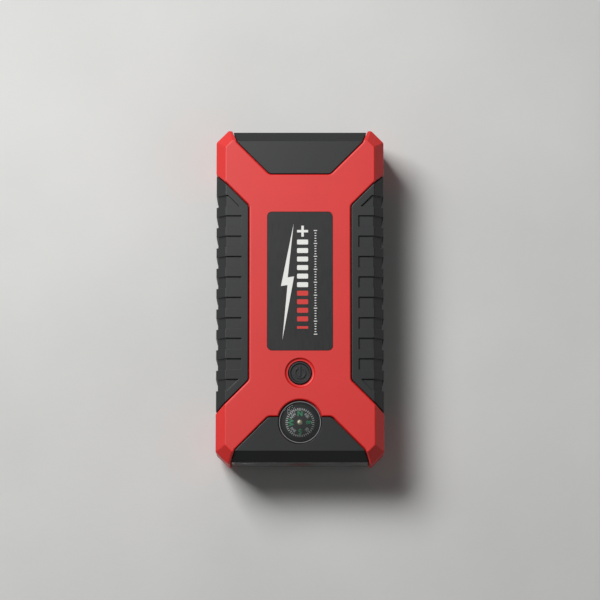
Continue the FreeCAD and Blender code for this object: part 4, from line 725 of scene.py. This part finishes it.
def plus_outline(x, y, size, stroke):
    """The twelve corners of a plus sign, from one quarter turned four times."""
    half, thin = size / 2, stroke / 2
    quarter = np.array([(thin, thin), (thin, half), (-thin, half)])
    return np.vstack([turned(quarter, math.pi / 2 * i) for i in range(4)]) + (x, y)


def scale_mark(index, y):
    """One line of the fine scale, longer at every fifth."""
    width = MARK_SHORT if index % MARKS_PER_LONG else MARK_LONG
    return box_outline(SCALE_X, y, width, SCALE_STROKE)


scale_y = label_mid_y + (np.arange(SCALE_STEPS) - SCALE_STEPS / 2) * SCALE_PITCH
scale_marks = [scale_mark(i, y) for i, y in enumerate(scale_y)]
gauge = [gauge_bar(step) for step in range(BARS)]
plus = plus_outline(GAUGE_X, GAUGE_TOP + PLUS_LIFT, GAUGE_WIDE, SIGN_STROKE)
minus = box_outline(GAUGE_X, GAUGE_TOP - BAR_PITCH * (BARS + 1), GAUGE_WIDE, SIGN_STROKE)
label_print = {
    "white": [BOLT, plus, *gauge[:WHITE_BARS], *scale_marks],
    "red": [*gauge[WHITE_BARS:], minus],
}
for ink_name, shapes in label_print.items():
    made = plates(
        f"label_print_{ink_name}", shapes, label_top - INK_SUNK, label_top + INK_THICK, facing_up,
        inks[ink_name], body_of_node["label_plate"],
    )
    print(made.name, len(shapes), "shapes,", len(made.data.polygons), "faces")

# %% [markdown]
# ## Marks underneath and on the port end
# Underneath, the rating plate has a ruled frame, rows for figures that are left blank, and three signs: plus,
# minus, and direct current, which is a line over three dashes. The port cover has that last sign on each side
# of a small bolt.

# %% Marks underneath and on the port end
rating_low, rating_high = (np.array(corner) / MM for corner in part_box("rating_plate"))
rating_face = -rating_low[2]
RULE = 0.3
FRAME_INSET = 2.2
ROW_PITCH = 5.4
RATING_SIGN_X, RATING_SIGN_Y = 6.5, 20.3
RATING_SIGN_SIZE, RATING_SIGN_STROKE = 4.2, 0.9
COVER_LIP = 0.75
COVER_BOLT_SCALE = (0.32, 0.12)
COVER_MARK_DROP = 0.6
COVER_SIGN_X = 9
COVER_SIGN_LIFT = 0.6


def direct_current(x, y, width, stroke, dash, pitch, drop):
    """The sign for direct current: a line with its middle at x, y, and three dashes below it by drop."""
    dashes = [box_outline(x + step * pitch, y - drop, dash, stroke) for step in (-1, 0, 1)]
    return [box_outline(x, y, width, stroke), *dashes]


frame_wide, frame_high = (rating_high - rating_low)[:2] - 2 * FRAME_INSET
rows = [box_outline(0, y, frame_wide, RULE) for y in np.arange(-3, 4) * ROW_PITCH]
frame_rules = [box_outline(side * (frame_wide - RULE) / 2, 0, RULE, frame_high) for side in (-1, 1)]
frame_rules += [box_outline(0, side * (frame_high - RULE) / 2, frame_wide, RULE) for side in (-1, 1)]
signs = [
    plus_outline(-RATING_SIGN_X, RATING_SIGN_Y, RATING_SIGN_SIZE, RATING_SIGN_STROKE),
    box_outline(RATING_SIGN_X, RATING_SIGN_Y, RATING_SIGN_SIZE, RATING_SIGN_STROKE),
    *direct_current(0, -20.0, width=7.0, stroke=0.7, dash=1.8, pitch=2.6, drop=1.6),
]
plates(
    "rating_print", [*rows, *frame_rules, *signs], rating_face - INK_SUNK, rating_face + INK_THICK,
    facing_down, inks["grey"], body_of_node["rating_plate"],
)

cover_low, cover_high = (np.array(corner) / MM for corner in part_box("port_cover"))
cover_face = cover_high[1] - COVER_LIP
small_bolt = (BOLT - BOLT.mean(axis=0)) * COVER_BOLT_SCALE
cover_mid_z = (cover_low[2] + cover_high[2]) / 2 - COVER_MARK_DROP
mark_x = -(cover_low[0] + cover_high[0]) / 2
cover_marks = [small_bolt + (mark_x, cover_mid_z)]
for side in (-1, 1):
    cover_marks += direct_current(
        mark_x + side * COVER_SIGN_X, cover_mid_z + COVER_SIGN_LIFT,
        width=3.6, stroke=0.45, dash=0.9, pitch=1.35, drop=1.1,
    )
plates(
    "cover_print", cover_marks, cover_face - INK_SUNK, cover_face + INK_THICK, facing_back, inks["grey"],
    body_of_node["port_cover"],
)
print("marks on the rating plate and the port cover")

# %% [markdown]
# ## The compass card
# The card is black with white degree marks, green letters for the four winds and small white letters between
# them, all printed. It turns, so all its print rides on the card's body. The letters are Blender text, made a
# mesh first and then put in place, because an object in the finished model stays at the origin.

# %% The compass print
card_low, card_high = (np.array(corner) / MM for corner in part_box("compass_card"))
HUB_RISE = 0.35
CARD = (card_low + card_high)[:2] / 2
CARD_TOP = card_high[2] - HUB_RISE
TICKS = 40
TICK_INNER, TICK_OUTER, TICK_WIDE = 5.9, 7.25, 0.5
TICK_SHORTER = 0.35
TICKS_PER_LONG = 5
LETTER_RADIUS, LETTER_HIGH = 4.55, 3.7
SMALL_RADIUS, SMALL_HIGH = 4.9, 2.0
LETTER_WEIGHT = 0.022
dial_body = body_of_node["compass_card"]


def tick(index):
    """One degree mark: a bar on the rim of the card, longer at every letter."""
    angle = 2 * math.pi * index / TICKS
    inner = TICK_INNER + (TICK_SHORTER if index % TICKS_PER_LONG else 0.0)
    bar = box_outline(0.0, (inner + TICK_OUTER) / 2, TICK_WIDE, TICK_OUTER - inner)
    return turned(bar, -angle, *CARD)


plates(
    "compass_marks", [tick(i) for i in range(TICKS)], CARD_TOP - INK_SUNK, CARD_TOP + INK_THICK, facing_up,
    inks["white"], dial_body,
)


def card_letter(text, bearing, radius, size, material):
    """A printed letter at a bearing in degrees, clockwise from the far end, with its top outwards."""
    source = bpy.data.curves.new(f"letter_{text}", "FONT")
    source.body = text
    source.size = size * MM
    source.align_x = "CENTER"
    source.align_y = "CENTER"
    source.resolution_u = 4
    source.offset = size * LETTER_WEIGHT * MM
    carrier = bpy.data.objects.new(f"letter_{text}_curve", source)
    bpy.context.collection.objects.link(carrier)
    mesh = bpy.data.meshes.new_from_object(carrier)
    bpy.data.objects.remove(carrier)
    points = np.empty(len(mesh.vertices) * 3)
    mesh.vertices.foreach_get("co", points)
    flat = points.reshape(-1, 3)[:, :2]
    flat = flat - (flat.min(axis=0) + flat.max(axis=0)) / 2 + (0.0, radius * MM)
    placed = turned(flat, -math.radians(bearing), *(CARD * MM))
    height = np.full((len(placed), 1), (CARD_TOP + INK_THICK) * MM)
    mesh.vertices.foreach_set("co", np.hstack([placed, height]).ravel())
    mesh.materials.clear()
    mesh.materials.append(material)
    mesh.update()
    piece = bpy.data.objects.new(f"compass_letter_{text}", mesh)
    bpy.context.collection.objects.link(piece)
    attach(piece, dial_body)
    return piece


WINDS = ("N", "NE", "E", "SE", "S", "SW", "W", "NW")
for i, wind in enumerate(WINDS):
    main = i % 2 == 0
    card_letter(
        wind, 45 * i, LETTER_RADIUS if main else SMALL_RADIUS, LETTER_HIGH if main else SMALL_HIGH,
        inks["green" if main else "white"],
    )
print(TICKS, "marks and", len(WINDS), "letters on the card")

# %% [markdown]
# ## The card's jewel cap
# The card hangs on a needle through a small pressed metal cap, which shows as a bright button at the middle.
# It is a turned shape: a profile of radius and height, carried round the axis by multiplying it with the
# cosine and sine of every angle at once.


# %% Turned shapes
def turned_piece(name, profile, middle, material, body, axis="z", steps=48, ripple=None):
    """A surface of revolution. Each point is the profile's radius times (cos a, sin a), at its height.

    axis is z for a shape standing up, or y for one lying along y. ripple takes (angle, share along the
    profile) and gives a factor on the radius.
    """
    profile = np.array(profile) * MM
    angle = np.arange(steps) / steps * 2 * math.pi
    share = np.linspace(0.0, 1.0, len(profile))
    factor = ripple(angle[None, :], share[:, None]) if ripple else 1.0
    radius = profile[:, :1] * factor * np.ones((1, steps))
    height = profile[:, 1:] * np.ones((1, steps))
    across, up = radius * np.cos(angle), radius * np.sin(angle)
    columns = (across, up, height) if axis == "z" else (across, height, -up)
    verts = np.stack([column.ravel() for column in columns], axis=1) + np.array(middle) * MM
    row, col = np.meshgrid(np.arange(len(profile) - 1), np.arange(steps), indexing="ij")
    here, after = row * steps + col, row * steps + (col + 1) % steps
    quads = np.stack([here, after, after + steps, here + steps], axis=-1).reshape(-1, 4)
    piece = new_piece(name, verts, quads.tolist(), material, body)
    work = bmesh.new()
    work.from_mesh(piece.data)
    bmesh.ops.remove_doubles(work, verts=work.verts, dist=1e-7)
    bmesh.ops.recalc_face_normals(work, faces=work.faces)
    work.to_mesh(piece.data)
    work.free()
    piece.data.shade_smooth()
    return piece


JEWEL_BRIM, JEWEL_BRIM_THICK = 1.75, 0.12
JEWEL_DOME, JEWEL_RISE = 1.5, 0.42
JEWEL_CLEAR = 0.005
dome_turn = np.linspace(0.0, math.pi / 2, 9)
dome = np.column_stack([JEWEL_DOME * np.cos(dome_turn), JEWEL_BRIM_THICK + JEWEL_RISE * np.sin(dome_turn)])
dome[-1, 0] = 0.0
jewel = turned_piece(
    "compass_jewel_cap", [(0.0, 0.0), (JEWEL_BRIM, 0.0), (JEWEL_BRIM, JEWEL_BRIM_THICK), *dome],
    (*CARD, CARD_TOP + JEWEL_CLEAR), finishes["pale_brass"], dial_body,
)
print("jewel cap", len(jewel.data.polygons), "faces")

# %% [markdown]
# ## Lamp bowls
# A lamp's bowl is a mirror with shallow flutes, which spread the beam and give it its sparkle. The measured
# bowl is smooth, so a fluted one takes its place: the same parabola, with its radius swelling and shrinking a
# little round the turn, most in the middle of the depth and not at all at the rim and the hole.

# %% Fluted bowls
FLUTES = 24
FLUTE_SHARE = 0.018
BOWL_WALL = 0.4
BOWL_RIM_INSET = 0.1
BOWL_HOLE_SHARE = 0.40
BOWL_BACK_GAP = 0.02
BOWL_DEPTH_SPARE = 0.05
BOWL_RINGS = 22


def flutes(angle, share):
    """Radius factor: rounded flutes that fade out at both ends of the profile."""
    return 1 + FLUTE_SHARE * np.abs(np.cos(angle * FLUTES / 2)) * np.sin(math.pi * share) - FLUTE_SHARE / 2


for side in ("left", "right"):
    node = f"reflector_{side}"
    low, high = (np.array(corner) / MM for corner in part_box(node))
    rim = (high[0] - low[0]) / 2 - BOWL_RIM_INSET
    middle = ((low[0] + high[0]) / 2, low[1], (low[2] + high[2]) / 2)
    depth = high[1] - low[1] - BOWL_DEPTH_SPARE
    hole = rim * BOWL_HOLE_SHARE
    share = np.linspace(0.0, 1.0, BOWL_RINGS)
    radius = np.sqrt(rim**2 - (rim**2 - hole**2) * share)
    bowl = turned_piece(
        f"lamp_bowl_{side}", np.column_stack([radius - BOWL_WALL, share * depth + BOWL_BACK_GAP]), middle,
        finishes["bowl_chrome"], body_of_node[node], axis="y", steps=FLUTES * 8, ripple=flutes,
    )
    wall = bowl.modifiers.new("wall", "SOLIDIFY")
    wall.thickness = BOWL_WALL * MM
    wall.offset = 0.0
    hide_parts(node)
    print(bowl.name, len(bowl.data.polygons), "faces, hole", round(hole, 1), "mm")

# %% [markdown]
# ## Contact strips
# Each charging socket has a tongue with four flat gold strips, and the strips are what makes it read as a
# socket. They are thin plates on the tongue's under side, and the middle two stand a little further back.

# %% Contact strips
STRIPS = 4
STRIP_PITCH = 2.4
STRIP_WIDE, STRIP_LONG, STRIP_THICK = 1.1, 6.4, 0.07
STRIP_DEEP = 4.2
STRIP_STAGGER = 0.4
BLOCK_HALF = 2.55
TONGUE_LIFT = 0.2


def contact_strip(index, middle_x, mouth_y):
    """The outline of one strip, the middle two further from the socket's mouth."""
    x = middle_x + (index - (STRIPS - 1) / 2) * STRIP_PITCH
    back = STRIP_STAGGER * (0 < index < STRIPS - 1)
    return box_outline(x, mouth_y - STRIP_DEEP - back, STRIP_WIDE, STRIP_LONG)


for side in ("left", "right"):
    node = f"usb_insert_{side}"
    low, high = (np.array(corner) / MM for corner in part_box(node))
    strips = [contact_strip(i, (low[0] + high[0]) / 2, high[1]) for i in range(STRIPS)]
    for row, middle_z in (("low", low[2] + BLOCK_HALF), ("high", high[2] - BLOCK_HALF)):
        top = middle_z + TONGUE_LIFT
        made = plates(
            f"usb_strips_{side}_{row}", strips, top - STRIP_THICK, top, facing_up, finishes["gold_contact"],
            body_of_node[node],
        )
        print(made.name, "at z", round(top, 2))
